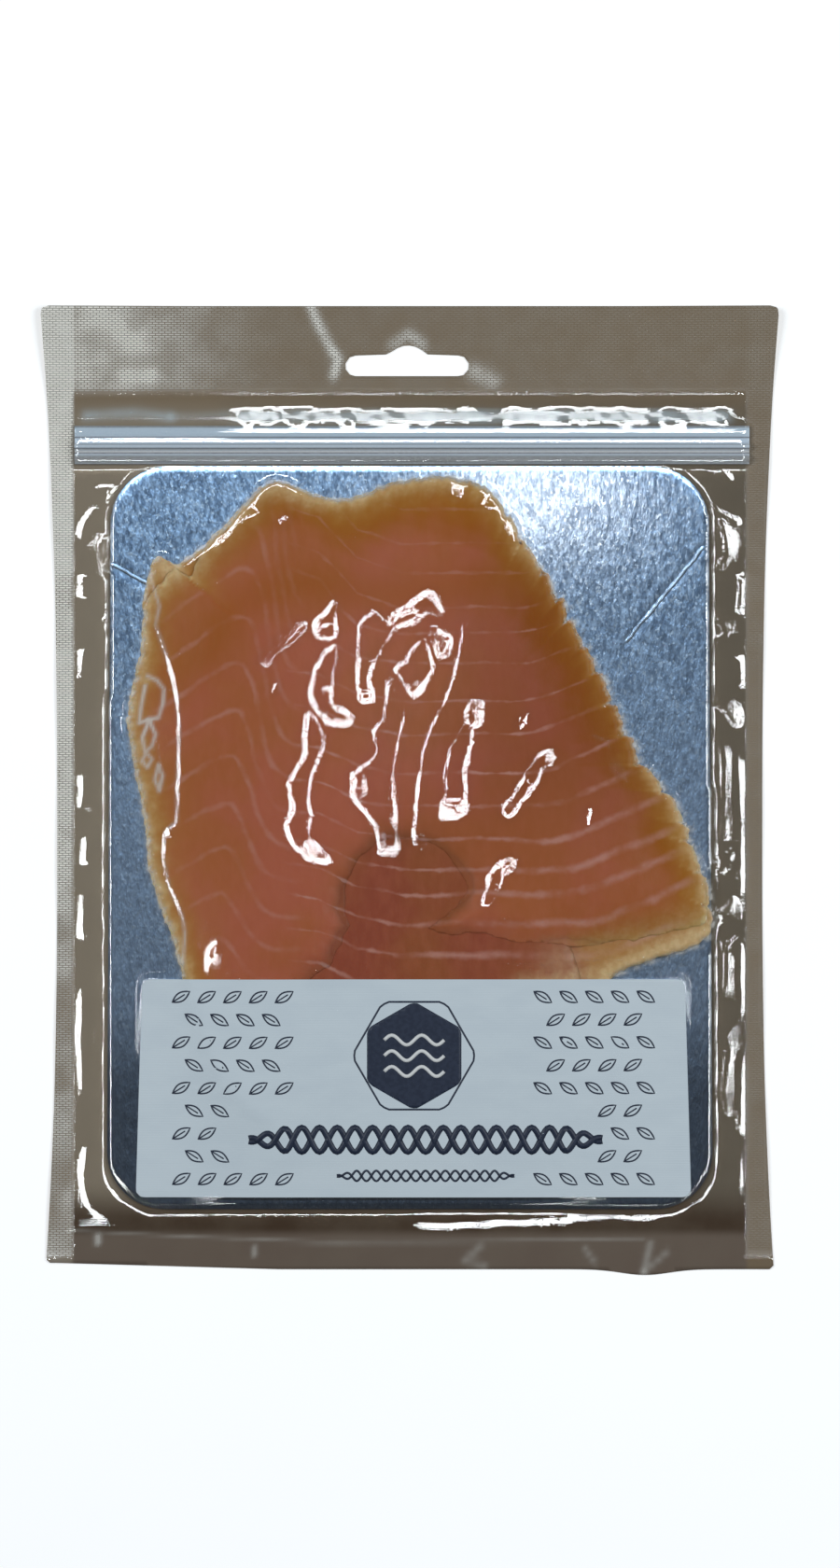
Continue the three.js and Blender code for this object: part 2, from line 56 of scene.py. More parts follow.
POUCH = {
    "top": 129.75,
    "bottom": -128.2,
    "bottom_rise": 1.7,
    "bottom_dip": 1.55,
    "dip_x": 63.0,
    "dip_width": 9.0,
    "waist_y": -13.5,
    "waist_half": 94.4,
    "top_flare": 4.5,
    "bottom_flare": 3.1,
    "flare_power": 2.6,
    "corner_radius": 2.0,
    "film": 0.15,
    "weld": 0.3,
    "inner_half": 90.2,
    "seal_top": -117.5,
}
HEADER = {"bottom": 102.8, "embossed": 106.6, "curl": 1.5, "curl_from": 55.0}
HANG_HOLE = {
    "left": -17.3,
    "right": 15.9,
    "bottom": 111.0,
    "shoulder": 116.4,
    "hump_foot": 116.8,
    "hump_x": -0.5,
    "hump_top": 119.2,
    "hump_half": 5.2,
    "radius": 2.65,
}
ZIP = {
    "left": -89.7,
    "right": 90.9,
    "bottom": 87.35,
    "top": 97.6,
    "base": 0.4,
    "strip": 0.7,
    "rib_height": 1.1,
    "rib_half": 1.15,
    "ribs": (88.9, 92.1),
    "crown": 0.35,
}
BOARD = {
    "base": 0.3,
    "top_z": 1.3,
    "top_half": 80.0,
    "bottom_half": 81.1,
    "top": 86.75,
    "bottom": -112.0,
    "radius": 15.5,
}
SALMON_CENTRE = (0.25, 6.75)
LOWER_Z = (1.3, 3.3)
MIDDLE_Z = (3.3, 5.1)
UPPER_THICKNESS = 1.8
GAP = 0.3  # between the upper slice and the middle one
DRAPE = 9.0  # the upper slice starts to climb this far outside the middle one
RIM_EDGE, RIM_WIDTH = 0.4, 1.3  # the lower slice's thickness at its rim, and how far in it grows
UPPER_EDGE, UPPER_RIM_WIDTH = 0.25, 1.5
TORN_EDGE, TORN_WIDTH = 0.07, 6.0  # the same at the upper slice's tear
MIDDLE_EDGE, MIDDLE_SLOPE = 0.06, 0.2  # the middle slice thins out evenly
CLEAR = 0.03  # between a slice and what is draped over it
WEDGE_INWARDS = [0, 4, 11, 18, 27, 36]  # distances from the middle slice's rim
WEDGE_THICKNESS = [0.4, 0.8, 1.1, 1.35, 1.6, 1.8]
TEAR_TAPER = 16.0  # the upper slice thins out towards its tear over this length
SWELL = 0.3
SWELL_LENGTH = 44.0
LABEL = {
    "thickness": 0.25,
    "top": -50.4,
    "bottom": -108.8,
    "top_half": 72.6,
    "bottom_half": 74.3,
    "centre_x": 1.0,
    "radius": 2.0,
}

# The lowest slice's outline, clockwise from the left flank.
LOWER_OUTLINE = [
    (-75.5, 20), (-72, 38), (-70.5, 55.5), (-67, 63), (-63.5, 60.5), (-55.5, 65.5), (-47, 73.7),
    (-37, 83), (-27, 80), (-18, 78), (-4, 82.5), (10, 84), (21, 80.5), (31, 66), (38, 55.5),
    (45, 42.5), (54, 25), (62, 7.5), (71, -3), (76, -16), (79.6, -26), (79.6, -39.5), (68, -44.5),
    (55, -50), (56, -66), (50, -84), (30, -94), (2, -96), (-28, -94), (-47, -84), (-57, -64),
    (-62.5, -43), (-69.5, -22), (-71, -8), (-74, 8),
]

# ---------------------------------------------------------------- numbers


def smoothstep(value, low, high):
    """0 up to low and 1 from high."""
    t = np.clip((value - low) / (high - low), 0.0, 1.0)
    return t * t * (3.0 - 2.0 * t)


def fade(value, low, high):
    """1 up to low and 0 from high."""
    return 1 - smoothstep(value, low, high)


def bell(value, centre, width):
    return np.exp(-(((value - centre) / width) ** 2))


def even_lines(low, high, step):
    return np.linspace(low, high, max(2, round((high - low) / step) + 1))


def graded_lines(stops, steps):
    """Lines between stops, with one step for each stretch."""
    parts = [even_lines(a, b, s)[:-1] for a, b, s in zip(stops, stops[1:], steps)]
    return np.concatenate([*parts, [stops[-1]]])


def waves(x, y, seed, length, octaves=3):
    """Smooth seeded noise of about -1 to 1, made of crossing sine waves."""
    draw = np.random.default_rng(seed)
    total = np.zeros(np.broadcast(x, y).shape)
    weight = 0.0
    for octave in range(octaves):
        share = 0.6**octave
        for _ in range(4):
            angle = draw.uniform(0, 2 * math.pi)
            turn = 2 * math.pi / (length * 0.55**octave * draw.uniform(0.75, 1.35))
            along = x * math.cos(angle) + y * math.sin(angle)
            total += share * np.sin(along * turn + draw.uniform(0, 2 * math.pi))
        weight += share * 2.0
    return total / weight


def path_distance(x, y, path):
    """The distance of points to an open line through a list of points."""
    nearest = np.full(np.broadcast(x, y).shape, 1e9)
    for (ax, ay), (bx, by) in zip(path, path[1:]):
        dx, dy = bx - ax, by - ay
        share = np.clip(((x - ax) * dx + (y - ay) * dy) / (dx * dx + dy * dy + 1e-12), 0, 1)
        nearest = np.minimum(nearest, np.hypot(x - ax - share * dx, y - ay - share * dy))
    return nearest


def inside_polygon(x, y, corners):
    """True for points within a closed outline."""
    inside = np.zeros(np.broadcast(x, y).shape, bool)
    for (ax, ay), (bx, by) in zip(corners, corners[1:] + corners[:1]):
        if ay == by:
            continue
        crosses = (ay > y) != (by > y)
        inside ^= crosses & (x < (bx - ax) * (y - ay) / (by - ay) + ax)
    return inside


def polygon_depth(x, y, corners):
    """The distance to a closed outline, positive within it."""
    distance = path_distance(x, y, corners + corners[:1])
    return np.where(inside_polygon(x, y, corners), distance, -distance)


def smooth_path(points, steps=8):
    """A finer line through given points, rounded by Catmull-Rom."""
    padded = [points[0], *points, points[-1]]
    fine = []
    for p0, p1, p2, p3 in zip(padded, padded[1:], padded[2:], padded[3:]):
        for i in range(steps):
            t = i / steps
            fine.append(
                tuple(
                    0.5
                    * (
                        2 * b
                        + (c - a) * t
                        + (2 * a - 5 * b + 4 * c - d) * t * t
                        + (3 * b - a - 3 * c + d) * t**3
                    )
                    for a, b, c, d in zip(p0, p1, p2, p3)
                )
            )
    return [*fine, points[-1]]


def bezier(start, control, end, steps=8):
    """A quadratic curve's points, without its start."""
    shares = [i / steps for i in range(1, steps + 1)]
    return [
        tuple(
            a * (1 - t) ** 2 + 2 * b * t * (1 - t) + c * t * t
            for a, b, c in zip(start, control, end)
        )
        for t in shares
    ]


# ---------------------------------------------------------------- outlines


def pouch_half(y):
    """Half the pouch's width at a height y: a pincushion, drawn in at the waist."""
    above = np.clip((y - POUCH["waist_y"]) / (POUCH["top"] - POUCH["waist_y"]), 0, 1)
    below = np.clip((POUCH["waist_y"] - y) / (POUCH["waist_y"] - POUCH["bottom"]), 0, 1)
    flare = POUCH["top_flare"] * above ** POUCH["flare_power"]
    return POUCH["waist_half"] + flare + POUCH["bottom_flare"] * below ** POUCH["flare_power"]


def pouch_bottom(x):
    rise = POUCH["bottom_rise"] * np.clip((-35 - x) / 60, 0, 1)
    dip = POUCH["bottom_dip"] * bell(x, POUCH["dip_x"], POUCH["dip_width"])
    return POUCH["bottom"] + rise - dip


def rounded_corner(dx, dy, radius):
    """The inner distance of a corner where two edges meet, dx and dy inside them."""
    both = (dx < radius) & (dy < radius)
    return np.where(both, radius - np.hypot(radius - dx, radius - dy), np.minimum(dx, dy))


def pouch_depth(x, y):
    """The distance inside the pouch's outline."""
    side = pouch_half(y) - np.abs(x)
    top = rounded_corner(side, POUCH["top"] - y, POUCH["corner_radius"])
    return np.minimum(top, np.minimum(side, y - pouch_bottom(x)))


def hang_hole_depth(x, y):
    """The distance inside the hang hole: a slot with a hump."""
    h = HANG_HOLE
    middle_x, half_x = (h["left"] + h["right"]) / 2, (h["right"] - h["left"]) / 2
    off = np.abs(x - h["hump_x"])
    slope = np.clip((off - h["hump_half"]) / (half_x - h["hump_half"]), 0, 1)
    flank = h["hump_foot"] - (h["hump_foot"] - h["shoulder"]) * slope
    hump = h["hump_top"] - (h["hump_top"] - h["hump_foot"]) * (off / h["hump_half"]) ** 2
    top = np.where(off < h["hump_half"], hump, flank)
    end = half_x - np.abs(x - middle_x)
    lower = rounded_corner(end, y - h["bottom"], h["radius"])
    upper = rounded_corner(end, top - y, h["radius"])
    return np.minimum(lower, upper)


def film_depth(x, y):
    """The distance inside the films, which have the hang hole through them."""
    return np.minimum(pouch_depth(x, y), -hang_hole_depth(x, y))


def tapered_half(part, y):
    """Half the width of a part that is a little wider at its lower end."""
    along = np.clip((part["top"] - y) / (part["top"] - part["bottom"]), 0, 1)
    return part["top_half"] + (part["bottom_half"] - part["top_half"]) * along


def board_depth(x, y):
    """The distance inside the board."""
    middle, reach = (BOARD["top"] + BOARD["bottom"]) / 2, (BOARD["top"] - BOARD["bottom"]) / 2
    dx = np.abs(x) - (tapered_half(BOARD, y) - BOARD["radius"])
    dy = np.abs(y - middle) - (reach - BOARD["radius"])
    outside = np.hypot(np.maximum(dx, 0), np.maximum(dy, 0))
    return BOARD["radius"] - outside - np.minimum(np.maximum(dx, dy), 0)


def label_depth(x, y):
    """The distance inside the label."""
    side = tapered_half(LABEL, y) - np.abs(x - LABEL["centre_x"])
    upper = rounded_corner(side, LABEL["top"] - y, LABEL["radius"])
    return np.minimum(upper, rounded_corner(side, y - LABEL["bottom"], LABEL["radius"]))


# ---------------------------------------------------------------- fat lines of the salmon

FAT_ROWS = [-118, -108, -99, -90, -80, -71, -62, -53, -44, -35.5, -27.5, -21, -13, -4.25, 4.75, 15,
            24, 33.75, 42, 49, 58, 66, 75, 84, 94, 104]
# Right of x the lines bend up, further right below a height; the first stretch is a gentle curve.
ROW_BEND = {"x": 26.5, "below": 14.25, "slant": 0.35, "gentle": 11, "curve": 0.0172, "slope": 0.38}
LEFT_RISE = ([-60, -33, -24.25, -14, -2.25], [19, 8, 6.75, 1.75, 0])  # x, and the rise there
CHEVRONS = {
    "apex": (-46.5, 8.25),
    "lean": 0.1,
    "climb": 34.2,
    "climb_gain": 0.39,  # for each millimetre up
    "steepest": 6.4,  # right of the apex
    "width": 2.7,
    "left_slope": 0.72,
    "spacing": 12.5,
}


def row_phase(x, y):
    """Counts the fat lines that run across the fish and curve up towards its right edge."""
    b = ROW_BEND
    past_bend = np.maximum(x - b["x"] - np.maximum(0, b["below"] - y) * b["slant"], 0)
    rise = b["curve"] * np.minimum(past_bend, b["gentle"]) ** 2
    rise = rise + b["slope"] * np.maximum(past_bend - b["gentle"], 0)
    rise = rise + np.interp(x, *LEFT_RISE) * (1 + 1.2 * smoothstep(y, 35, 60))
    level = y - rise + 0.5 * waves(x, y, 5, 30)
    return np.interp(level, FAT_ROWS, np.arange(len(FAT_ROWS), dtype=float))


def chevron_phase(x, y):
    """Counts the fat lines of the left flank, which climb steeply and turn down at an apex."""
    c = CHEVRONS
    apex_x = c["apex"][0] + (y - c["apex"][1]) * c["lean"]
    off = x - apex_x + 0.6 * waves(x, y, 6, 40)
    climb = (c["climb"] + c["climb_gain"] * y) / (1 + np.exp((c["steepest"] - off) / c["width"]))
    level = y + climb + c["left_slope"] * np.maximum(-off, 0) + 0.8 * waves(x, y, 7, 26)
    return level / c["spacing"]


def density(phase, x, y, step=0.05):
    """How fast a phase changes, for each millimetre."""
    across = (phase(x + step, y) - phase(x - step, y)) / (2 * step)
    along = (phase(x, y + step) - phase(x, y - step)) / (2 * step)
    return np.hypot(across, along) + 1e-4


# ---------------------------------------------------------------- salmon slices


def centripetal(outline, steps=16):
    """A closed centripetal Catmull-Rom curve through an outline."""
    points = np.array(outline, float)
    count = len(points)
    fine = []
    for i in range(count):
        p0, p1, p2, p3 = (points[(i + k) % count] for k in (-1, 0, 1, 2))
        t0, t1, t2 = (math.sqrt(np.linalg.norm(b - a)) for a, b in ((p0, p1), (p1, p2), (p2, p3)))
        m1 = ((p1 - p0) / t0 - (p2 - p0) / (t0 + t1) + (p2 - p1) / t1) * t1
        m2 = ((p2 - p1) / t1 - (p3 - p1) / (t1 + t2) + (p3 - p2) / t2) * t1
        for s in np.arange(steps) / steps:
            fine.append(
                p1 * (2 * s**3 - 3 * s**2 + 1)
                + m1 * (s**3 - 2 * s**2 + s)
                + p2 * (3 * s**2 - 2 * s**3)
                + m2 * (s**3 - s**2)
            )
    return np.array(fine)


ANGLES = np.linspace(-math.pi, math.pi, 2881)


def outline_radii():
    """The lowest slice's radius about the salmon's centre, at each of the angles."""
    curve = centripetal(LOWER_OUTLINE)
    off = curve - np.array(SALMON_CENTRE)
    angle = np.arctan2(off[:, 1], off[:, 0])
    order = np.argsort(angle)
    return np.interp(ANGLES, angle[order], np.hypot(*off.T)[order], period=2 * math.pi)


def angle_bump(centre, width):
    """A smooth bump of height 1 about an angle in degrees."""
    off = np.degrees(ANGLES) - centre
    off = (off + 180) % 360 - 180
    return np.exp(-((off / width) ** 2))


SMOOTH_RADII = outline_radii()


# The teeth of a slice's rim: how many go round it, and how high they are.
TEETH = ((37, 0.3), (61, 0.35), (97, 0.35), (151, 0.35), (233, 0.35), (359, 0.25))
STEP_DEPTHS = (0.5, 3.6)  # of the rim's steps from one fat line to the next
NOTCH_DEPTH, NOTCH_WIDTH = 0.7, 0.07  # at a fat line; its width in rows


def ragged(radii, seed, size):
    """A radius roughened like torn, fatty fish: fine teeth, and a step at each fat line."""
    draw = np.random.default_rng(seed)
    teeth = np.zeros_like(ANGLES)
    for cycles, share in TEETH:
        swing = 0.6 + 0.4 * np.sin(draw.integers(3, 9) * ANGLES + draw.uniform(0, 2 * math.pi))
        teeth += share * swing * np.sin(cycles * ANGLES + draw.uniform(0, 2 * math.pi))
    x = SALMON_CENTRE[0] + radii * np.cos(ANGLES)
    y = SALMON_CENTRE[1] + radii * np.sin(ANGLES)
    phase = row_phase(x, y) + 0.12 * waves(x, y, seed + 1, 9, 2)
    row = np.floor(phase).astype(int)
    depths = draw.uniform(*STEP_DEPTHS, len(FAT_ROWS) + 1)
    on_right = smoothstep(np.cos(ANGLES), 0.1, 0.5)
    notch = NOTCH_DEPTH * bell(phase, np.round(phase), NOTCH_WIDTH)
    step = depths[row] * (np.sqrt(np.clip(phase - row, 0, 1)) - 0.66)
    return radii + size * teeth + (step - notch) * on_right


LOWER_RADII = ragged(SMOOTH_RADII, 11, 0.5)
TAB, TIP = angle_bump(141, 5), angle_bump(-36, 9)  # where the lower slice shows beyond the upper
UPPER_RADII = LOWER_RADII - 0.5 - 5 * TAB - 3 * TIP
MIDDLE_RADII = SMOOTH_RADII - 12
for shorter, centre, width in ((9, 118, 34), (7, -35, 22), (6, -100, 30)):
    MIDDLE_RADII = MIDDLE_RADII - shorter * angle_bump(centre, width)


def bearing(x, y):
    """The angle of points about the salmon's centre."""
    return np.arctan2(y - SALMON_CENTRE[1], x - SALMON_CENTRE[0])


def slice_depth(radii, x, y):
    """The distance inside a slice's rim, measured towards the salmon's centre."""
    away = np.hypot(x - SALMON_CENTRE[0], y - SALMON_CENTRE[1])
    return np.interp(bearing(x, y), ANGLES, radii) - away


def torn_outline():
    """The part of the upper slice that is torn away: an arch, and all below its lower edge."""
    left_foot, right_foot = (-17.0, -26.0), (15.0, -27.0)
    crown = (-3.5, -12.8)
    edge = [(4.2, -36.8), (12, -38.4), (20, -38.2), (28, -39.8), (38, -41.2), (48, -41.5)]
    points = [(-28.0, -52.0), (-25.5, -49.4), (-21.5, -46.5), (-19.4, -41.8), (-15.5, -36.3)]
    points += [(-17.4, -31.5), left_foot]
    points += bezier(left_foot, (-13, -13), crown)
    points += bezier(crown, (12, -12.5), right_foot)
    points += bezier(right_foot, (12, -33), edge[0])
    points += [*edge[1:], (66, -38.5), (90, -33), (90, -110), (-28, -110)]
    return points


TORN = torn_outline()


def lower_depth(x, y):
    return slice_depth(LOWER_RADII, x, y)


def middle_depth(x, y):
    return slice_depth(MIDDLE_RADII, x, y)


def torn_distance(x, y):
    """The distance from the tear's edge, positive where the upper slice is whole."""
    ragged_edge = 0.35 * waves(x, y, 21, 6) + 0.5 * waves(x, y, 22, 14)
    return ragged_edge - polygon_depth(x, y, TORN)


def upper_depth(x, y):
    return np.minimum(slice_depth(UPPER_RADII, x, y), torn_distance(x, y))


def swell(x, y):
    """The gentle waves of a slice that lies on others."""
    turn = 2 * math.pi / SWELL_LENGTH
    return SWELL * np.sin(turn * (x + 0.3 * y)) * np.cos(turn * (0.8 * y - 0.2 * x))


def rim_share(depth, edge, thickness, width):
    """The thickness of a slice near its rim, where it thins out."""
    return edge + (thickness - edge) * np.sqrt(smoothstep(depth, 0, width))


def flesh_relief(x, y):
    """Shallow hollows along the fat lines and a soft unevenness."""
    phase = row_phase(x, y)
    groove = 0.08 * bell(phase - np.round(phase), 0, 0.07) * smoothstep(x, -34, -24)
    return 0.07 * waves(x, y, 31, 18) - groove


def lower_thickness(x, y):
    """The lower slice's thickness, which falls off in a round edge at its rim."""
    return rim_share(lower_depth(x, y), RIM_EDGE, LOWER_Z[1] - LOWER_Z[0], RIM_WIDTH)


def lower_top(x, y):
    relief = 0.5 * flesh_relief(x, y) * smoothstep(lower_depth(x, y), 1, 4)
    return LOWER_Z[0] + lower_thickness(x, y) + relief


def wedge(depth):
    """The thickness of the middle slice at a distance inside its rim."""
    return np.interp(depth, WEDGE_INWARDS, WEDGE_THICKNESS)


def middle_top(x, y):
    depth = middle_depth(x, y)
    rim = MIDDLE_EDGE + MIDDLE_SLOPE * np.maximum(depth, 0)
    return MIDDLE_Z[0] + np.minimum(wedge(depth), rim)


def upper_bottom(x, y):
    """The upper slice's underside, draped over the middle slice and down to its own tear."""
    depth = middle_depth(x, y)
    foot = (GAP + WEDGE_THICKNESS[0]) * np.clip(1 + depth / DRAPE, 0, 1)
    rests = (GAP - 0.05) * (depth > 0) * fade(torn_distance(x, y), 0, TORN_WIDTH)
    climb = foot - rests + wedge(depth) - WEDGE_THICKNESS[0]
    return LOWER_Z[0] + lower_thickness(x, y) + CLEAR + climb


def upper_top(x, y):
    rim, tear = slice_depth(UPPER_RADII, x, y), torn_distance(x, y)
    thin = 0.35
    thick = thin + (UPPER_THICKNESS - thin) * smoothstep(tear, -0.3 * TEAR_TAPER, TEAR_TAPER)
    torn = TORN_EDGE + (thick - TORN_EDGE) * smoothstep(tear, -0.5, TORN_WIDTH)
    thickness = np.minimum(rim_share(rim, UPPER_EDGE, thick, UPPER_RIM_WIDTH), torn)
    inner = smoothstep(rim, 3, 12)
    return upper_bottom(x, y) + thickness + (swell(x, y) + flesh_relief(x, y)) * inner


# ---------------------------------------------------------------- front film

# The slope at which the film mirrors the ring light into the camera: in the middle of the pack,
# and its change for each millimetre from there.
GLINT_SLOPE = 0.228
GLINT_DRIFT = 0.00076
BANK_BLUR = 0.35  # a bank is made this much wider, because the film's lattice rounds it off

# The long crease inside the fish's left rim, below its upper end.
LEFT_CREASE = [
    (-66.8, 49.2), (-67.8, 44.2), (-64.8, 35.5), (-62.2, 25.5), (-61.5, 16.8), (-62.2, -8.2),
    (-65.2, -10.8), (-65.8, -18.2), (-64.2, -25.8), (-60.8, -33.2), (-60, -38.2), (-60.5, -45.8),
]

# Raised islands of the film over the salmon: the width of the bank round each, and its outline.
FILM_ISLANDS = [
    (1.6, [(-9.6, 47.6), (-5.1, 42.8), (-8.2, 36.5), (-10.8, 30.3), (-10.2, 26.3), (-11.9, 24.6),
           (-13.3, 26.9), (-13.9, 34.8), (-13.2, 44.5)]),
    (1.9, [(-20.1, 50.2), (-25.5, 43.9), (-23.3, 40.6), (-19.8, 41.4)]),
    (1.9, [(-19.6, 38.5), (-20.1, 30.8), (-21, 22.9), (-16.8, 19), (-23.3, 19.4), (-26.1, 24),
           (-26.4, 27.4), (-23.8, 35)]),
    (1.8, [(2.9, 41.6), (5.7, 36.5), (5.7, 32), (3.4, 27.7), (0.4, 24.8), (-1.1, 29.7),
           (-3.8, 31.8), (0, 36)]),
    (1.7, [(-27, 20.6), (-24.7, 18.3), (-22.7, 12.7), (-24.7, 7.5), (-26.4, 2.4), (-27, -2.7),
           (-26.4, -7.8), (-26.7, -12.9), (-21.6, -18.4), (-27.5, -17), (-31.4, -13.8),
           (-32.8, -8.9), (-31.2, -5), (-32.1, 0.7), (-30.9, 4.7), (-27.8, 9.8), (-28.1, 16.1)]),
    (1.7, [(17.9, 24.9), (19.1, 21.8), (17.1, 17.2), (16.2, 12.1), (14.8, 6.4), (14.8, -0.4),
           (13.9, -4.6), (10.8, -6.4), (7.8, -5.8), (9.4, -1), (9.4, 4.7), (10.5, 10.4),
           (13.1, 15.5), (14.8, 17.8), (15.6, 21.8)]),
    (1.5, [(37, 11), (38.4, 8.5), (35.3, 5.3), (32.4, 0.2), (27, -6.3), (24.5, -5.7), (27.3, -1.5),
           (29.9, 2.4), (32.4, 7)]),
    (1.1, [(27.5, -18.6), (25.3, -21.4), (23.3, -26.5), (20.8, -30.6), (19.4, -30), (20.8, -24.8),
           (22.8, -20.3)]),
    (1.3, [(31.6, 21.4), (30.4, 18.2), (29, 16.8), (29.8, 19.6)]),
    (1.2, [(-34.9, 28.8), (-35.6, 26.4), (-36.4, 25.6), (-35.8, 28)]),
    (2.8, [(-5.4, 43.6), (-3.6, 46.8), (0.2, 49), (4.4, 52.9), (7, 51), (9.2, 46.6), (5.2, 47.8),
           (1, 45.2), (-2.8, 43.9)]),
    (3.0, [(6.2, 43.6), (11, 39.6), (8, 35.6), (6.8, 38.4)]),
    (0.7, [(-34.9, 74.6), (-32.6, 72.9), (-33.4, 70.6), (-35.4, 72)]),
    (1.0, [(-50.8, -40.4), (-51.9, -44.6), (-54, -48.6), (-52.9, -43.6)]),
    (1.2, [(11, 81), (14.2, 80.6), (13.4, 78.4), (11.6, 78.8)]),
    (1.0, [(47.9, -5.2), (47.4, -9.4), (46.7, -7)]),
    (2.6, [(-12.9, 28.6), (-10.6, 28.2), (-10.4, 24), (-13, 24.2)]),
    (3.0, [(-22.4, 22.6), (-16.6, 20.6), (-16.4, 18), (-23, 18.6)]),
    (3.2, [(-2.6, 32), (2, 31), (3, 27), (0.4, 25.2), (-1.8, 28.6)]),
    (3.2, [(9.2, -2.6), (14, -2.2), (13.6, -6), (8.2, -6.6)]),
    (2.8, [(-28.4, -12.6), (-25.2, -15), (-21.6, -18.8), (-27.2, -17.4)]),
    (2.6, [(15.8, 24), (19.4, 23.6), (18, 17.6), (15.2, 17.8)]),
    (3.2, [(-15, 4.4), (-12.4, 3.6), (-11.4, -1.6), (-14.4, -1.8)]),
    (1.5, [(35, 9), (38, 11.2), (37.6, 8.6), (35.6, 7.4)]),
    (2.2, [(23.6, -19.6), (27.6, -18.2), (26.2, -21.6), (24, -22)]),
]

# Folds of the film: the width of the bank, and its route; the film is higher left of the route.
FILM_FOLDS = [
    (1.4, [(10.2, 40.5), (13.1, 44.5), (14.2, 42.2), (12.5, 33.7), (10.2, 25.7), (6.8, 18.9),
           (4, 11.5), (2.9, 5.3), (1.7, -5), (0.9, -12.3), (0.7, -18)]),
    (2.2, [(-3.4, 32), (-5.4, 30.3), (-6.2, 25.2), (-7.1, 19.5), (-9.6, 15.5), (-9.1, 9.8),
           (-13, 5.8), (-15.3, 0.2), (-13.6, -3.8), (-9.6, -8.9), (-8.5, -14), (-8.6, -19.2)]),
    (2.0, [(-3.1, -18.9), (-3.4, -14), (-4, -3.3), (-4.5, 4.7), (-3.4, 10.4), (-1.7, 17.8),
           (0.6, 25.7)]),
    (0.7, [(-69.2, 55.5), *LEFT_CREASE]),
    (1.4, [(-43.5, 76.8), (-40.2, 74.2), (-45.2, 71.8), (-49.8, 66.8), (-56, 63.8), (-60.4, 61)]),
    (1.0, [(19, 76.2), (22, 75.2), (24.6, 75.8)]),
    (1.0, [(25.2, 69.4), (28.4, 68.2)]),
]

# Short folds, all but the first in the loose film between the board and the welds.
SHORT_FOLDS = [
    (1.0, [(-38.4, 32), (-35.6, 36.4), (-30.4, 40.2), (-26.4, 44.6)]),
    (1.3, [(-77.6, 77.2), (-79.8, 81.4), (-84.8, 81)]),
    (1.8, [(-83.8, 76.8), (-87.2, 72.4), (-88.7, 67.6)]),
    (1.3, [(-80.1, 57), (-80.8, 60.4), (-81.9, 64.7), (-80.6, 68.4)]),
    (2.0, [(-88.3, 57.8), (-88.2, 51.4)]),
    (2.0, [(-82.9, 46), (-80.6, 42.2)]),
    (1.3, [(-88, 38), (-88.5, 29.6)]),
    (1.2, [(-81, 28.4), (-80.9, 14.2)]),
    (1.3, [(-88, 4.4), (-88.3, -5)]),
    (1.2, [(-84.6, -1.6), (-86.6, -5.2)]),
    (1.3, [(-80.9, -9.2), (-82.8, -13.6), (-83.3, -18.4), (-81, -21.4), (-82.9, -26.4),
           (-81.4, -31), (-83.4, -36.6), (-82.2, -44)]),
    (1.8, [(-87, -12), (-87.6, -20)]),
    (1.3, [(-87.8, -27), (-88.2, -40)]),
    (1.2, [(-84.4, -49), (-83.2, -56), (-84.8, -63), (-83.8, -70)]),
    (1.3, [(-88.1, -52), (-88.6, -66), (-88, -82)]),
    (1.4, [(-86.4, -94), (-88, -102), (-86.2, -111), (-82, -114.6)]),
    (1.2, [(86.8, 82.6), (84, 85.8), (78.6, 86.2)]),
    (1.4, [(89, 71.6), (82.2, 75.4), (78.4, 79.4)]),
    (1.5, [(82, 73.6), (84, 66.8), (83.6, 61.9), (80.8, 59.2)]),
    (2.0, [(88.2, 58), (87.4, 47.4)]),
    (1.1, [(80.8, 45), (84, 42.7), (81.2, 40)]),
    (1.2, [(87.2, 36), (88.2, 27.6)]),
    (1.4, [(80.8, 23.2), (84, 21.4), (87, 16.6)]),
    (1.2, [(80.6, 14.4), (82.8, 10.6), (83.3, 3.3), (83.3, -15.4)]),
    (1.2, [(86.8, 10.4), (87.4, -1.5), (87.8, -29.4)]),
    (1.2, [(84.2, -16.8), (86, -18.6)]),
    (1.1, [(80.8, -18.8), (83.8, -22.6)]),
    (1.2, [(86.6, -27.8), (84.4, -31.3), (80.8, -34.6)]),
    (1.2, [(83, -38), (84.4, -47), (83.2, -55)]),
    (1.2, [(87.6, -40), (88, -60)]),
    (1.2, [(82.8, -62), (84.6, -70), (83.4, -80), (84.8, -88)]),
    (1.4, [(88, -70), (87.8, -92)]),
    (2.6, [(-4, -116.2), (7.8, -116.6), (16.5, -116.2), (25.3, -115.6), (39, -115.2),
           (52.8, -113.6), (64, -114), (69, -111.8), (76.5, -107), (82.8, -101.6), (86.4, -97.6)]),
]


def zip_top(y):
    """The top of the zip strip in section: two ribs and a crowned flange."""
    height = np.full(np.shape(y), ZIP["strip"])
    for centre in ZIP["ribs"]:
        share = np.clip(1 - ((y - centre) / ZIP["rib_half"]) ** 2, 0, 1)
        height = np.maximum(height, ZIP["strip"] + ZIP["rib_height"] * share)
    start = ZIP["ribs"][1] + ZIP["rib_half"] + 0.4
    across = np.clip((y - start) / (ZIP["top"] - start), 0, 1)
    return ZIP["base"] + np.maximum(height, ZIP["strip"] + ZIP["crown"] * 4 * across * (1 - across))


EDGE_WAVE = {"height": 0.55, "length": 46, "slant": 40}  # how the side welds wave up and down


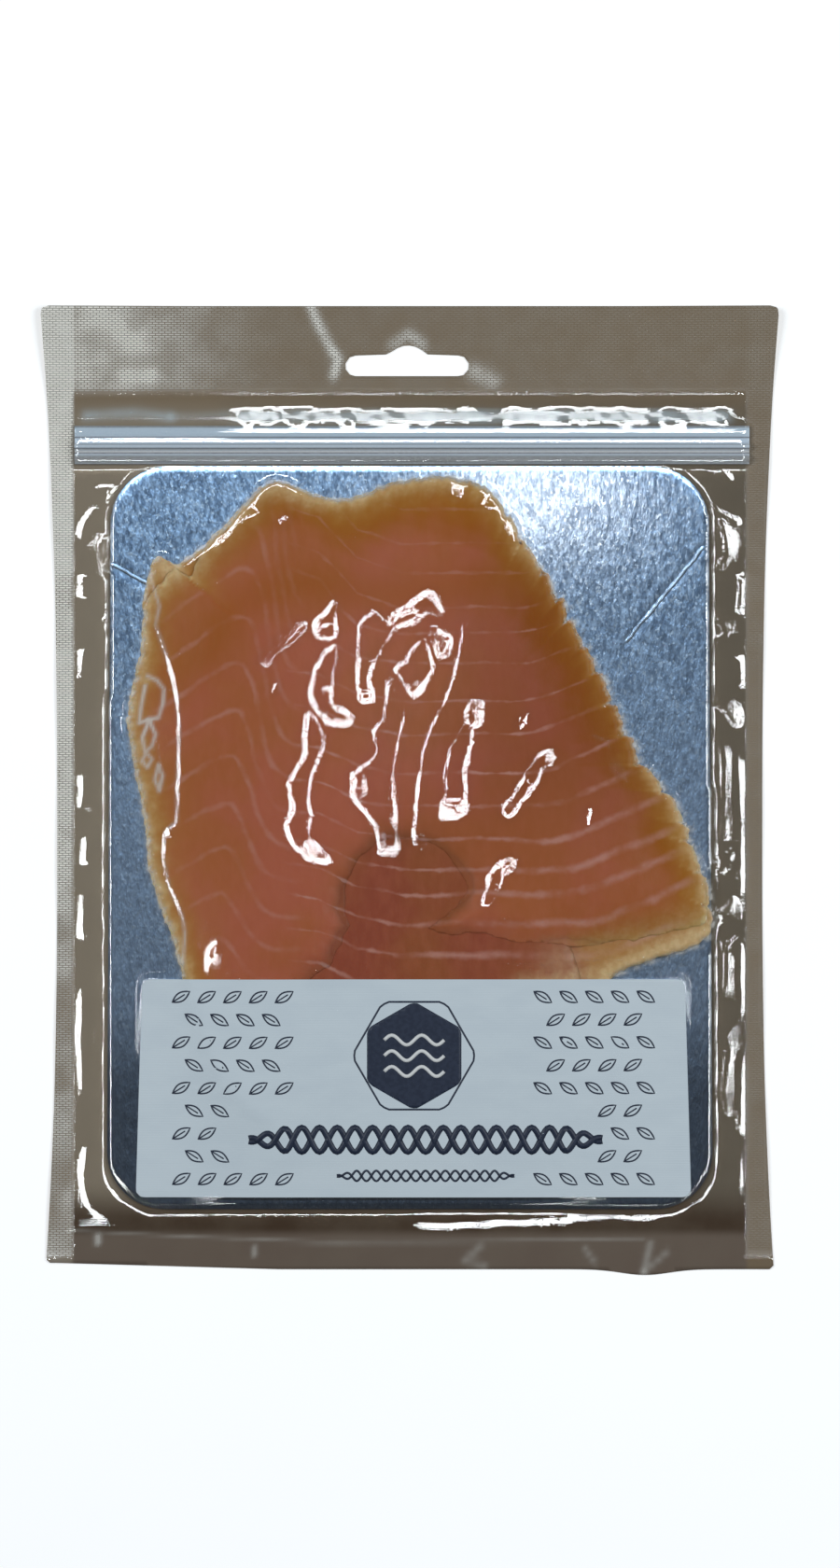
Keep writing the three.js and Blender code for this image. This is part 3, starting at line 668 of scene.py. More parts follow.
def film_lift(x, y):
    """How far the pouch lifts off the surface that it lies on, at its header and edges."""
    side = smoothstep(np.abs(x), HEADER["curl_from"], POUCH["waist_half"])
    curl = HEADER["curl"] * side * smoothstep(y, HEADER["bottom"], POUCH["top"])
    edge = smoothstep(np.abs(x), POUCH["inner_half"], POUCH["waist_half"] + 3)
    wave = np.sin(2 * math.pi * y / EDGE_WAVE["length"] + x / EDGE_WAVE["slant"])
    return curl + EDGE_WAVE["height"] * edge * (0.5 + 0.5 * wave)


def contents_top(x, y):
    """The top of what lies between the films."""
    clear = 0.06
    height = film_lift(x, y) + POUCH["weld"]
    pieces = [
        (board_depth(x, y), np.full(x.shape, BOARD["top_z"])),
        (lower_depth(x, y), lower_top(x, y)),
        (middle_depth(x, y), middle_top(x, y)),
        (upper_depth(x, y), upper_top(x, y)),
    ]
    for depth, top in pieces:
        height = np.where(depth > -0.1, np.maximum(height, top + clear), height)
    on_zip = (x > ZIP["left"]) & (x < ZIP["right"]) & (y > ZIP["bottom"]) & (y < ZIP["top"])
    return np.where(on_zip, np.maximum(height, zip_top(y) + clear), height)


def around(lattice):
    """The sum of the four neighbours of each point within a lattice."""
    return lattice[:-2, 1:-1] + lattice[2:, 1:-1] + lattice[1:-1, :-2] + lattice[1:-1, 2:]


def stretch_over(height, rounds):
    """A taut skin over heights on a lattice: it bridges hollows and steps."""
    skin = height.copy()
    for _ in range(rounds):
        skin[1:-1, 1:-1] = np.maximum(height[1:-1, 1:-1], around(skin) / 4)
    return skin


def soften(height, rounds):
    """Heights on a lattice, blurred a little."""
    soft = height.copy()
    for _ in range(rounds):
        soft[1:-1, 1:-1] = 0.5 * soft[1:-1, 1:-1] + around(soft) / 8
    return soft


def route_side(x, y, route):
    """The signed distance to an open line, positive on its left, the way along it from 0 to 1,
    and the direction that its right side lies in."""
    nearest = np.full(np.broadcast(x, y).shape, 1e9)
    signed, along = nearest.copy(), np.zeros_like(nearest)
    down_x, down_y = np.zeros_like(nearest), np.zeros_like(nearest)
    lengths = [math.dist(a, b) for a, b in zip(route, route[1:])]
    run = 0.0
    for (ax, ay), (bx, by), length in zip(route, route[1:], lengths):
        dx, dy = (bx - ax) / length, (by - ay) / length
        reach = np.clip((x - ax) * dx + (y - ay) * dy, 0, length)
        off_x, off_y = x - ax - reach * dx, y - ay - reach * dy
        distance = np.hypot(off_x, off_y)
        closer = distance < nearest
        nearest = np.where(closer, distance, nearest)
        side = np.where(dx * off_y - dy * off_x > 0, 1.0, -1.0)
        signed = np.where(closer, side * distance, signed)
        along = np.where(closer, run + reach, along)
        down_x, down_y = np.where(closer, dy, down_x), np.where(closer, -dx, down_y)
        run += length
    return signed, along / run, down_x, down_y


def near(x, y, points, margin):
    """The part of the lattice round some points, as a mask."""
    xs, ys = zip(*points)
    across = (x > min(xs) - margin) & (x < max(xs) + margin)
    return across & (y > min(ys) - margin) & (y < max(ys) + margin)


def ridges(x, y, skin):
    """The islands and folds of the front film, steep enough on their skin to mirror the ring."""
    height = np.zeros(x.shape)
    skin_y, skin_x = np.gradient(skin, FILM_Y, FILM_X)

    def bank_height(here, bank, down_x, down_y):
        """How high a bank of a width is, where it falls in a direction."""
        slope = GLINT_SLOPE - GLINT_DRIFT * (x[here] * down_x + y[here] * down_y)
        slope = slope + skin_x[here] * down_x + skin_y[here] * down_y
        return np.maximum(slope, 0.1) * (bank + BANK_BLUR) / 1.5 * uneven[here]

    uneven = 1 + 0.14 * waves(x, y, 43, 9, 2)
    shift = 0.35 * waves(x, y, 44, 6, 2)
    for bank, outline in FILM_ISLANDS:
        here = near(x, y, outline, 2 * bank)
        at_x, at_y = x[here], y[here]
        middle_x, middle_y = np.mean(outline, 0)
        off_x, off_y = at_x - middle_x, at_y - middle_y
        away = np.hypot(off_x, off_y) + 1e-9
        rise = bank_height(here, bank, off_x / away, off_y / away)
        outline = smooth_path([*outline, outline[0]], 4)[:-1]
        depth = polygon_depth(at_x, at_y, outline) + shift[here]
        rise = rise * smoothstep(depth, -bank / 2, bank / 2)
        height[here] = np.maximum(height[here], rise)
    for folds, reach in ((FILM_FOLDS, 15.0), (SHORT_FOLDS, 6.0)):
        for bank, route in folds:
            here = near(x, y, route, reach)
            at_x, at_y = x[here], y[here]
            side, along, down_x, down_y = route_side(at_x, at_y, smooth_path(route, 4))
            side = side + 0.5 * shift[here]
            ends = smoothstep(along, 0, 0.12) * fade(along, 0.88, 1)
            back = np.exp(-np.maximum(side - bank / 2, 0) / (reach / 3))
            back = back * fade(side, 0.4 * reach, reach)
            rise = bank_height(here, bank, down_x, down_y) * ends * back
            rise = rise * smoothstep(side, -bank / 2, bank / 2)
            height[here] = np.maximum(height[here], rise)
    return height


MARGIN_TUBE = 0.24  # the height of the tube of loose film


def margin_wrinkles(x, y):
    """The shallow tube of loose film between the board and the side welds."""
    outside = -board_depth(x, y)
    seal = np.minimum(POUCH["inner_half"] - np.abs(x), y - POUCH["seal_top"])
    seal = np.minimum(seal, ZIP["bottom"] - 0.6 - y)
    share = np.clip(outside / np.maximum(outside + seal, 1.0), 0, 1)
    tube = np.sin(math.pi * share) * (0.8 + 0.5 * waves(x, y, 42, 21, 3))
    beside = np.clip(outside, 0, 1) * np.clip(seal, 0, 1) * smoothstep(np.abs(x), 70, 80)
    return MARGIN_TUBE * tube * beside


FILM_X = graded_lines([-99.6, -91, -72, 50, 91, 99.6], [1.4, 0.7, 0.6, 0.7, 1.4])
FILM_Y = graded_lines([-130.4, -121, -109, -53, 84, 103.5, 130.4], [1.6, 0.8, 1.6, 0.6, 0.75, 1.5])

# The film's height across the zip and the loose strip above it, and where that strip lies flat.
OVER_ZIP = [(86.9, 1.4), (88.1, 2.26), (93.2, 2.28), (96.9, 1.25), (102.6, 0.34)]
FLAT_STRIP = [(86.9, 1.4), (88.1, 2.26), (93.2, 2.28), (97.6, 1.2), (99.2, 0.36), (102.6, 0.34)]


def over_zip(x, y):
    """The height of the film across the zip and the loose strip."""
    sloping = np.interp(y, *zip(*OVER_ZIP)) + 0.3 * waves(x, y, 51, 11, 3) * bell(y, 100, 2.2)
    flat = np.interp(y, *zip(*FLAT_STRIP))
    along = smoothstep(x, -53, -44) * fade(x, 86, 89)
    ends = smoothstep(POUCH["inner_half"] - np.abs(x), -1, 0.6)
    return (flat + (sloping - flat) * along) * ends


# How the front film lies on the fish and under the label.
SKIN = {
    "bridges_from": 0.8,  # inside the fish's rim it spans the slices' steps from here
    "loose_from": 5.0,  # the loose skin is level with the fish out to here
    "loose_lift": 0.08,
    "comes_away": (4, 16),  # it leaves the rim between these depths
    "ends_at_label": (-60, -50),
    "rounds": 300,  # how often a taut skin is pulled smooth
    "label_rounds": 200,
    "label_reach": (6.0, 1.8),  # how far round the label it is smooth, over fish and over foil
    "crumple_slope": 0.12,  # the slope of the folds where it counts as fully crumpled
}


def film_lattice():
    """The height of the front film, and how crumpled it is, at each point of its lattice."""
    x, y = np.meshgrid(FILM_X, FILM_Y)
    contents = contents_top(x, y)
    full = LOWER_Z[1] + UPPER_THICKNESS + 0.1
    depth = lower_depth(x, y)
    rounds = SKIN["rounds"]
    bridged = np.where(depth > SKIN["bridges_from"], np.maximum(contents, full), contents)
    tight = soften(stretch_over(bridged, 2), 1)
    level = np.where(depth < SKIN["loose_from"], full, bridged)
    loose = soften(stretch_over(level, rounds), rounds) + SKIN["loose_lift"]
    fish = smoothstep(depth, *SKIN["comes_away"]) * smoothstep(y, *SKIN["ends_at_label"])
    skin = tight + (loose - tight) * fish
    smooth = soften(stretch_over(contents, rounds), SKIN["label_rounds"])
    reach = np.where(depth > 1, *SKIN["label_reach"])
    skin = skin + (smooth - skin) * smoothstep(label_depth(x, y), -reach, -0.2)
    short = np.maximum(contents - skin, 0)
    skin = skin + np.maximum(short, soften(stretch_over(short, 20), 6))
    across_zip = (y > OVER_ZIP[0][0]) & (y < OVER_ZIP[-1][0])
    skin = np.where(across_zip, np.maximum(soften(over_zip(x, y), 2), skin), skin)
    folds = ridges(x, y, skin) * fade(label_depth(x, y), -2, 0)
    slopes = np.gradient(soften(folds, 2), FILM_Y, FILM_X)
    crumple = np.clip(soften(np.hypot(*slopes), 6) / SKIN["crumple_slope"], 0, 1)
    return skin + folds + margin_wrinkles(x, y), crumple


FILM_HEIGHT, FILM_CRUMPLE = film_lattice()


def on_film(lattice, x, y):
    """A value of the front film between its lattice points."""
    column = np.clip(np.searchsorted(FILM_X, x) - 1, 0, len(FILM_X) - 2)
    row = np.clip(np.searchsorted(FILM_Y, y) - 1, 0, len(FILM_Y) - 2)
    u = (x - FILM_X[column]) / (FILM_X[column + 1] - FILM_X[column])
    v = (y - FILM_Y[row]) / (FILM_Y[row + 1] - FILM_Y[row])
    low = lattice[row, column] * (1 - u) + lattice[row, column + 1] * u
    high = lattice[row + 1, column] * (1 - u) + lattice[row + 1, column + 1] * u
    return low * (1 - v) + high * v


def film_height(x, y):
    return on_film(FILM_HEIGHT, x, y)


# ---------------------------------------------------------------- meshes


def cut_lattice(xs, ys, depth):
    """The points and faces of a flat lattice, kept where depth(x, y) is positive."""
    grid_x, grid_y = np.meshgrid(xs, ys)
    value = depth(grid_x, grid_y).ravel()
    value = np.where(np.abs(value) < 1e-4, 1e-4, value)
    number = np.arange(grid_x.size).reshape(grid_x.shape)
    corners = np.stack([number[:-1, :-1], number[:-1, 1:], number[1:, 1:], number[1:, :-1]], -1)
    corners = corners.reshape(-1, 4)
    within = (value[corners] > 0).sum(1)
    faces = corners[within == 4].tolist()
    points = np.stack([grid_x.ravel(), grid_y.ravel()], 1)
    added, crossings = [], {}

    def crossing(a, b):
        key = (min(a, b), max(a, b))
        if key not in crossings:
            share = value[a] / (value[a] - value[b])
            crossings[key] = len(points) + len(added)
            added.append(points[a] + share * (points[b] - points[a]))
        return crossings[key]

    for cell in corners[(within > 0) & (within < 4)].tolist():
        face = []
        for a, b in zip(cell, cell[1:] + cell[:1]):
            if value[a] > 0:
                face.append(a)
            if (value[a] > 0) != (value[b] > 0):
                face.append(crossing(a, b))
        faces.append(face)
    points = np.concatenate([points, np.array(added).reshape(-1, 2)])
    used = np.zeros(len(points), bool)
    used[[i for face in faces for i in face]] = True
    renumber = (np.cumsum(used) - 1).tolist()
    return points[used], [[renumber[i] for i in face] for face in faces]


def cut_evenly(low, high, step, depth):
    """A cut lattice with even steps between two corners."""
    xs, ys = (even_lines(a, b, step) for a, b in zip(low, high))
    return cut_lattice(xs, ys, depth)


def rim_edges(faces, count):
    """The edges that only one face has, in that face's direction."""
    starts = np.array([i for face in faces for i in face])
    ends = np.array([i for face in faces for i in face[1:] + face[:1]])
    code, reverse = starts * count + ends, ends * count + starts
    lone = ~np.isin(code, reverse)
    return list(zip(starts[lone].tolist(), ends[lone].tolist()))


def closed_body(points, faces, top, bottom):
    """A closed body over a flat net of faces, between a top and a bottom height."""
    count = len(points)
    verts = np.concatenate([np.column_stack([points, top]), np.column_stack([points, bottom])])
    under = [[i + count for i in reversed(face)] for face in faces]
    walls = [[b, a, a + count, b + count] for a, b in rim_edges(faces, count)]
    return verts, faces + under + walls


def make_object(name, verts, faces, material, attributes=None):
    """A smooth-shaded mesh object from millimetres."""
    mesh = bpy.data.meshes.new(name)
    mesh.from_pydata((np.asarray(verts) * MM).tolist(), [], faces)
    for key, values in (attributes or {}).items():
        layer = mesh.attributes.new(key, "FLOAT", "POINT")
        layer.data.foreach_set("value", np.asarray(values, np.float32))
    mesh.polygons.foreach_set("use_smooth", np.ones(len(mesh.polygons), bool))
    mesh.update()
    obj = bpy.data.objects.new(name, mesh)
    bpy.context.scene.collection.objects.link(obj)
    mesh.materials.append(material)
    return obj


def sharpen(obj, degrees=50):
    """Keeps edges crisp where a mesh bends more than an angle."""
    obj.data.set_sharp_from_angle(angle=math.radians(degrees))


def place(obj, slot, *nodes):
    """The piece rides on the pack and stands for CAD nodes, whose parts are hidden; its slot is not
    used.
    """
    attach(obj, "root")
    if nodes:
        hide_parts(*nodes)
    return obj


# ---------------------------------------------------------------- materials

WHITE, BLACK = (1.0, 1.0, 1.0), (0.0, 0.0, 0.0)


class Material:
    """A node material under construction."""

    def __init__(self, name):
        self.material = bpy.data.materials.new(name)
        self.material.use_nodes = True
        self.tree = self.material.node_tree
        self.tree.nodes.clear()
        self.output = self.tree.nodes.new("ShaderNodeOutputMaterial")

    def add(self, kind, inputs=None, **settings):
        node = self.tree.nodes.new("ShaderNode" + kind)
        for key, value in settings.items():
            setattr(node, key, value)
        for key, value in (inputs or {}).items():
            self.feed(node.inputs[key], value)
        return node

    def feed(self, socket, value):
        if isinstance(value, bpy.types.NodeSocket):
            self.tree.links.new(value, socket)
        elif isinstance(value, tuple) and socket.type == "RGBA":
            socket.default_value = (*value, 1.0)
        else:
            socket.default_value = value

    def attribute(self, name):
        return self.add("Attribute", attribute_name=name).outputs["Fac"]

    def position(self, scale=(1, 1, 1)):
        """The place on the pack in millimetres, stretched by a scale."""
        here = self.add("TexCoord").outputs["Object"]
        stretch = tuple(s / MM for s in scale)
        return self.add("Mapping", {"Vector": here, "Scale": stretch}).outputs["Vector"]

    def axis(self, name):
        split = self.add("SeparateXYZ", {"Vector": self.position()})
        return split.outputs[name]

    def math(self, operation, a, b=0.0, c=None):
        inputs = {0: a, 1: b} if c is None else {0: a, 1: b, 2: c}
        return self.add("Math", inputs, operation=operation).outputs[0]

    def times(self, first, *others):
        """The product of several values."""
        for other in others:
            first = self.math("MULTIPLY", first, other)
        return first

    def between(self, value, low, high, start=0.0, end=1.0):
        """A smooth change from start to end while value goes from low to high."""
        inputs = {0: value, 1: low, 2: high, 3: start, 4: end}
        node = self.add("MapRange", inputs, interpolation_type="SMOOTHSTEP")
        return node.outputs[0]

    def noise(self, size, detail=2.0, stretch=(1, 1, 1), roughness=0.5):
        """Noise whose blobs are about size millimetres wide."""
        scale = tuple(s / size for s in stretch)
        inputs = {"Vector": self.position(scale), "Scale": 1.0}
        inputs |= {"Detail": detail, "Roughness": roughness}
        return self.add("TexNoise", inputs).outputs["Fac"]

    def blend(self, share, first, second):
        node = self.add("Mix", data_type="RGBA")
        for key, value in ((0, share), (6, first), (7, second)):
            self.feed(node.inputs[key], value)
        return node.outputs[2]

    def bump(self, height, distance, strength=1.0, normal=None):
        inputs = {"Height": height, "Distance": distance * MM, "Strength": strength}
        if normal is not None:
            inputs["Normal"] = normal
        return self.add("Bump", inputs).outputs["Normal"]

    def finish(self, shader):
        self.tree.links.new(shader.outputs[0], self.output.inputs["Surface"])
        return self.material

    def opaque(self, colour, roughness, others=None):
        """Finishes the material as an opaque surface."""
        inputs = {"Base Color": colour, "Roughness": roughness, **(others or {})}
        return self.finish(self.add("BsdfPrincipled", inputs))


def fat_line(m, phase_name, density_name, width):
    """How much of a fat line shows: 1 on the line, 0 at a width in millimetres from it."""
    phase = m.attribute(phase_name)
    nearest = m.math("ABSOLUTE", m.math("SUBTRACT", phase, m.math("ROUND", phase)))
    distance = m.math("DIVIDE", nearest, m.attribute(density_name))
    wobble = m.times(m.math("SUBTRACT", m.noise(3.5, 3), 0.5), 1.6)
    return m.between(m.math("ADD", distance, wobble), width, 0.0)


UPPER_FLESH = (0.46, 0.123, 0.066), (0.42, 0.123, 0.042)  # its red and its amber parts
DEEP_FLESH = (0.31, 0.073, 0.038), (0.32, 0.093, 0.034)
FLESH_TONES = {
    "grain": (0.52, 0.16, 0.085),
    "smoke": (0.36, 0.098, 0.006),
    "dusk": (0.13, 0.026, 0.004),
    "ochre": (0.45, 0.205, 0.02),
    "fat": (0.56, 0.27, 0.21),
    "pale": (0.74, 0.53, 0.28),
}


def salmon_material(name, red, amber):
    m = Material(name)
    grain = m.between(m.noise(2.2, 4, (1, 0.45, 1)), 0.3, 0.75)
    colour = m.blend(m.between(m.noise(24, 3), 0.36, 0.66), red, amber)
    colour = m.blend(m.times(grain, 0.2), colour, FLESH_TONES["grain"])
    for tone in ("smoke", "dusk", "ochre"):
        colour = m.blend(m.attribute(tone), colour, FLESH_TONES[tone])
    rows = fat_line(m, "row_phase", "row_density", m.attribute("row_width"))
    flank = fat_line(m, "flank_phase", "flank_density", 1.1)
    rows = m.times(rows, m.attribute("row_share"))
    flank = m.times(flank, m.attribute("flank_share"))
    uneven = m.between(m.noise(8, 3), 0.34, 0.68, 0.1, 1.0)
    fat = m.times(m.math("MAXIMUM", rows, flank), uneven, 0.75)
    colour = m.blend(fat, colour, FLESH_TONES["fat"])
    streaks = m.between(m.between(m.noise(1.3, 3), 0.3, 0.7), 0, 1, 0.75, 1.0)
    colour = m.blend(m.times(m.attribute("pale"), streaks), colour, FLESH_TONES["pale"])
    normal = m.bump(m.noise(1.1, 4, (1, 0.5, 1)), 0.12, 0.5)
    depth = {"Weight": 0.25, "Radius": (1.0, 0.35, 0.15), "Scale": 1.8 * MM}
    others = {"Subsurface " + key: value for key, value in depth.items()}
    return m.opaque(colour, 0.42, {"Normal": normal, "Specular IOR Level": 0.12, **others})


def crease_share(m, start, end, half_width):
    """1 along a straight line on the pack, drawn by its shader."""
    length = math.dist(start, end)
    along_x, along_y = (end[0] - start[0]) / length, (end[1] - start[1]) / length
    x = m.math("SUBTRACT", m.axis("X"), start[0])
    y = m.math("SUBTRACT", m.axis("Y"), start[1])
    along = m.math("MULTIPLY_ADD", x, along_x, m.times(y, along_y))
    off = m.math("MULTIPLY_ADD", x, -along_y, m.times(y, along_x))
    wander = m.times(m.math("SUBTRACT", m.noise(4, 2), 0.5), 1.2)
    line = m.between(m.math("ABSOLUTE", m.math("ADD", off, wander)), half_width, 0.3 * half_width)
    return m.times(line, m.between(along, 0, 2), m.between(along, length, length - 2))


# The foil's tones: the blue tint of dark and light is partly a painted reflection of sky; pale is
# painted light and shaded is painted shade.
FOIL_TONES = {
    "dark": (0.31, 0.36, 0.43),
    "light": (0.76, 0.82, 0.89),
    "pale": (0.88, 0.9, 0.96),
    "shaded": (0.17, 0.17, 0.19),
}
FOIL_CREASES = [((79, 65.6), (57.6, 39.4)), ((-80.4, 60.8), (-69.6, 55))]
CREASE_HALF, CREASE_BUMP = 0.55, 0.22


def foil_material():
    m = Material("board_foil")
    up = m.axis("Y")
    streaks = m.noise(0.5, 3, (1, 0.3, 1), 0.65)
    dimples = m.noise(1.8, 2, (1, 0.4, 1))
    normal = m.bump(m.math("ADD", streaks, m.times(dimples, 1.2)), 0.13, 0.85)
    shade = m.between(m.noise(0.9, 3, (1, 0.35, 1), 0.6), 0.36, 0.66)
    colour = m.blend(shade, FOIL_TONES["dark"], FOIL_TONES["light"])
    # Painted glints: specks of the foil's colour are turned white.
    painted_sparkle = m.between(m.noise(0.8, 1, (1, 0.6, 1)), 0.61, 0.66)
    colour = m.blend(painted_sparkle, colour, WHITE)
    # Painted light: the foil is made paler below its upper part; painted shade darkens its bottom.
    colour = m.blend(m.between(up, 60, -12, 0.0, 0.52), colour, FOIL_TONES["pale"])
    colour = m.blend(m.times(m.between(up, -52, -84), 0.72), colour, FOIL_TONES["shaded"])
    # The creases are a bump and a painted highlight: the foil turns white along them.
    for start, end in FOIL_CREASES:
        crease_and_glint = crease_share(m, start, end, CREASE_HALF)
        colour = m.blend(crease_and_glint, colour, WHITE)
        normal = m.bump(crease_and_glint, CREASE_BUMP, 1.0, normal)
    return m.opaque(colour, 0.3, {"Metallic": 1.0, "Normal": normal})


# The dots embossed into the welds: bricks in rows, with their sizes in millimetres.
DOTS = {
    "Color1": WHITE,
    "Color2": WHITE,
    "Mortar": BLACK,
    "Scale": 1.0,
    "Mortar Size": 0.16,
    "Mortar Smooth": 0.6,
    "Brick Width": 1.66,
    "Row Height": 0.6,
}
DOT_HEIGHT = 0.09
RIB_HEIGHT, RIB_PITCH = 0.0016, 0.6  # the fine ribs all over the film
GRAIN_HEIGHT = (0.065, 0.01)  # in the folds, and everywhere
CLEAR_TINT = (0.97, 0.975, 0.98)
# The pale colour of the welds' milky haze and of the sheen and glare painted into the film; the
# bluish colour of the sheen painted on the loose strip.
MILK_AND_SHEEN, STRIP_SHEEN = (0.95, 0.91, 0.83), (0.78, 0.9, 0.95)
WELD_ROUGHNESS = (0.02, 0.3)  # outside the welds and in them


def clear_film_material():
    """Clear film that mirrors at its surface and hides almost nothing."""
    m = Material("front_film_clear")
    weld, crumple = m.attribute("weld"), m.attribute("crumple")
    across, up = m.math("ABSOLUTE", m.axis("X")), m.axis("Y")
    bricks = m.add("TexBrick", {"Vector": m.position(), **DOTS}, offset=0.5)
    dot = m.math("SUBTRACT", 1.0, bricks.outputs["Fac"])
    emboss = m.times(dot, weld, DOT_HEIGHT)
    ribs = m.math("SINE", m.times(up, 2 * math.pi / RIB_PITCH))
    grain = m.times(m.noise(0.6, 2), m.math("MULTIPLY_ADD", crumple, *GRAIN_HEIGHT))
    relief = m.math("MULTIPLY_ADD", ribs, RIB_HEIGHT, m.math("ADD", emboss, grain))
    normal = m.bump(relief, 1.0)
    facing = m.add("LayerWeight", {"Blend": 0.5, "Normal": normal}).outputs["Facing"]
    tilt = m.math("MULTIPLY_ADD", m.math("POWER", facing, 5.0), 0.96, 0.04)
    patchy = m.between(m.noise(7, 3), 0.3, 0.7, 0.8, 1.2)
    dotted = m.between(m.times(dot, weld), 0, 1, 0.5, 1.9)
    # Milky haze in the welds, and painted sheen, glare and highlights elsewhere, as a pale diffuse
    # layer of the film.
    milk_and_sheen = m.times(m.attribute("haze_and_sheen"), patchy, dotted)
    in_strip = m.times(m.between(up, 96.5, 98.5), m.between(up, 104.5, 102.5))
    in_strip = m.times(in_strip, m.between(across, 89.5, 88))
    clear = m.add("BsdfTransparent", {"Color": CLEAR_TINT})
    milk_and_sheen_layer = {"Color": m.blend(in_strip, MILK_AND_SHEEN, STRIP_SHEEN), "Normal": normal}
    milk_and_sheen_layer = m.add("BsdfDiffuse", milk_and_sheen_layer)
    body = m.add("MixShader", {0: milk_and_sheen, 1: clear.outputs[0], 2: milk_and_sheen_layer.outputs[0]})
    roughness = m.between(weld, 0, 1, *WELD_ROUGHNESS)
    mirror = m.add("BsdfGlossy", {"Color": WHITE, "Roughness": roughness, "Normal": normal})
    speckle = m.between(m.noise(0.85, 2), 0.36, 0.45)
    speckle = m.math("MAXIMUM", speckle, m.math("SUBTRACT", 1.0, crumple))
    gloss = m.times(tilt, m.attribute("shine"), m.between(speckle, 0, 1, 0.1, 1.0))
    return m.finish(m.add("MixShader", {0: gloss, 1: body.outputs[0], 2: mirror.outputs[0]}))


# The back film's tones: lighter on the left than on the right; foot is a painted shadow under the
# board's lower edge.
BACK_TONES = {
    "left": (0.285, 0.228, 0.162),
    "right": (0.155, 0.122, 0.084),
    "foot": (0.062, 0.033, 0.015),
    "lower_weld": (0.165, 0.118, 0.087),
    "other_welds": (0.215, 0.15, 0.087),
    "cloud": (0.22, 0.175, 0.125),
}


def back_film_material():
    m = Material("back_film_taupe")
    across, up = m.axis("X"), m.axis("Y")
    tone = m.blend(m.between(across, -85, 85), BACK_TONES["left"], BACK_TONES["right"])
    # Painted shadow: a dark band along the bottom, under the label and the board's lower edge.
    tone = m.blend(m.between(up, -116, -104), BACK_TONES["foot"], tone)
    tone = m.blend(m.between(up, -117, -120), tone, BACK_TONES["lower_weld"])
    side = m.between(m.math("ABSOLUTE", across), 89.6, 91)
    weld = m.math("MAXIMUM", m.between(up, 98, 108), side)
    tone = m.blend(weld, tone, BACK_TONES["other_welds"])
    cloud = m.between(m.noise(14, 4), 0.3, 0.7)
    colour = m.blend(m.times(cloud, 0.2), tone, BACK_TONES["cloud"])
    normal = m.bump(m.noise(0.8, 3), 0.02, 0.4)
    return m.opaque(colour, 0.5, {"Normal": normal, "Specular IOR Level": 0.2})


# The bands across the zip strip: where each begins, and its colour. The light band from 87.55 is a
# painted highlight along the strip's lower edge.
ZIP_BANDS = [
    (87.35, (0.14, 0.13, 0.12)),
    # A painted highlight along the strip's lower edge.
    (87.55, (0.4, 0.43, 0.46)),
    (87.75, (0.29, 0.285, 0.28)),
    (89.45, (0.47, 0.51, 0.55)),
    (89.8, (0.6, 0.64, 0.7)),
    (90.15, (0.16, 0.16, 0.17)),
    (90.45, (0.52, 0.51, 0.5)),
    (90.9, (0.6, 0.64, 0.69)),
    (91.1, (0.5, 0.5, 0.5)),
    (91.4, (0.19, 0.2, 0.22)),
    (91.7, (0.56, 0.63, 0.7)),
    (92.45, (0.36, 0.39, 0.42)),
    (92.75, (0.6, 0.69, 0.79)),
    (94.3, (0.2, 0.22, 0.25)),
    (94.7, (0.52, 0.62, 0.71)),
    (97.1, (0.26, 0.28, 0.3)),
]
BAND_BLUR = 0.08
ZIP_EDGE, ZIP_KNURL = (0.2, 0.2, 0.2), (0.75, 0.8, 0.84)
PAPER_TONES = (0.62, 0.69, 0.74), (0.65, 0.72, 0.765)
NAVY_INK = (0.012, 0.02, 0.045), (0.02, 0.03, 0.06)
WHITE_INK = (0.76, 0.76, 0.75), (0.8, 0.8, 0.79)
FLOOR_TONES = (0.86, 0.86, 0.86), (0.88, 0.88, 0.88)
FLOOR_GLOW = 0.42


def zip_material():
    m = Material("zip_strip_plastic")
    up = m.axis("Y")
    colour = ZIP_EDGE
    for start, band in ZIP_BANDS:
        colour = m.blend(m.between(up, start - BAND_BLUR, start + BAND_BLUR), colour, band)
    knurl = m.between(m.noise(0.5, 2, (1.6, 1, 1)), 0.35, 0.65)
    colour = m.blend(m.times(knurl, 0.22), colour, ZIP_KNURL)
    normal = m.bump(m.noise(0.45, 2, (1.8, 1, 1)), 0.06, 0.6)
    return m.opaque(colour, 0.4, {"Normal": normal})


def paper_material():
    m = Material("label_paper_ribbed")
    ribbing = {"Vector": m.position(), "Scale": 0.5, "Distortion": 0.3, "Detail": 1.0}
    laid = m.add("TexWave", ribbing, bands_direction="Y").outputs["Fac"]
    fibre = m.noise(0.6, 4, (0.25, 1, 1))
    normal = m.bump(m.math("ADD", m.times(laid, 0.5), fibre), 0.03, 0.6)
    tone = m.between(m.noise(5, 4, (0.4, 1, 1)), 0.3, 0.7)
    colour = m.blend(tone, *PAPER_TONES)
    return m.opaque(colour, 0.62, {"Normal": normal, "Specular IOR Level": 0.35})


def ink_material(name, colour, other):
    m = Material(name)
    return m.opaque(m.blend(m.between(m.noise(1.2, 3), 0.35, 0.65), colour, other), 0.5)


def floor_material():
    m = Material("pale_floor")
    glow = {"Emission Color": WHITE, "Emission Strength": FLOOR_GLOW}
    return m.opaque(m.blend(m.noise(60, 2), *FLOOR_TONES), 0.8, glow)


# ---------------------------------------------------------------- pieces


def make_back_film():
    points, faces = cut_evenly((FILM_X[0], FILM_Y[0]), (FILM_X[-1], FILM_Y[-1]), 1.6, film_depth)
    low = film_lift(*points.T)
    body = closed_body(points, faces, low + POUCH["film"], low)
    obj = make_object("pouch_back_film", *body, back_film_material())
    return place(obj, "film", "pouch")


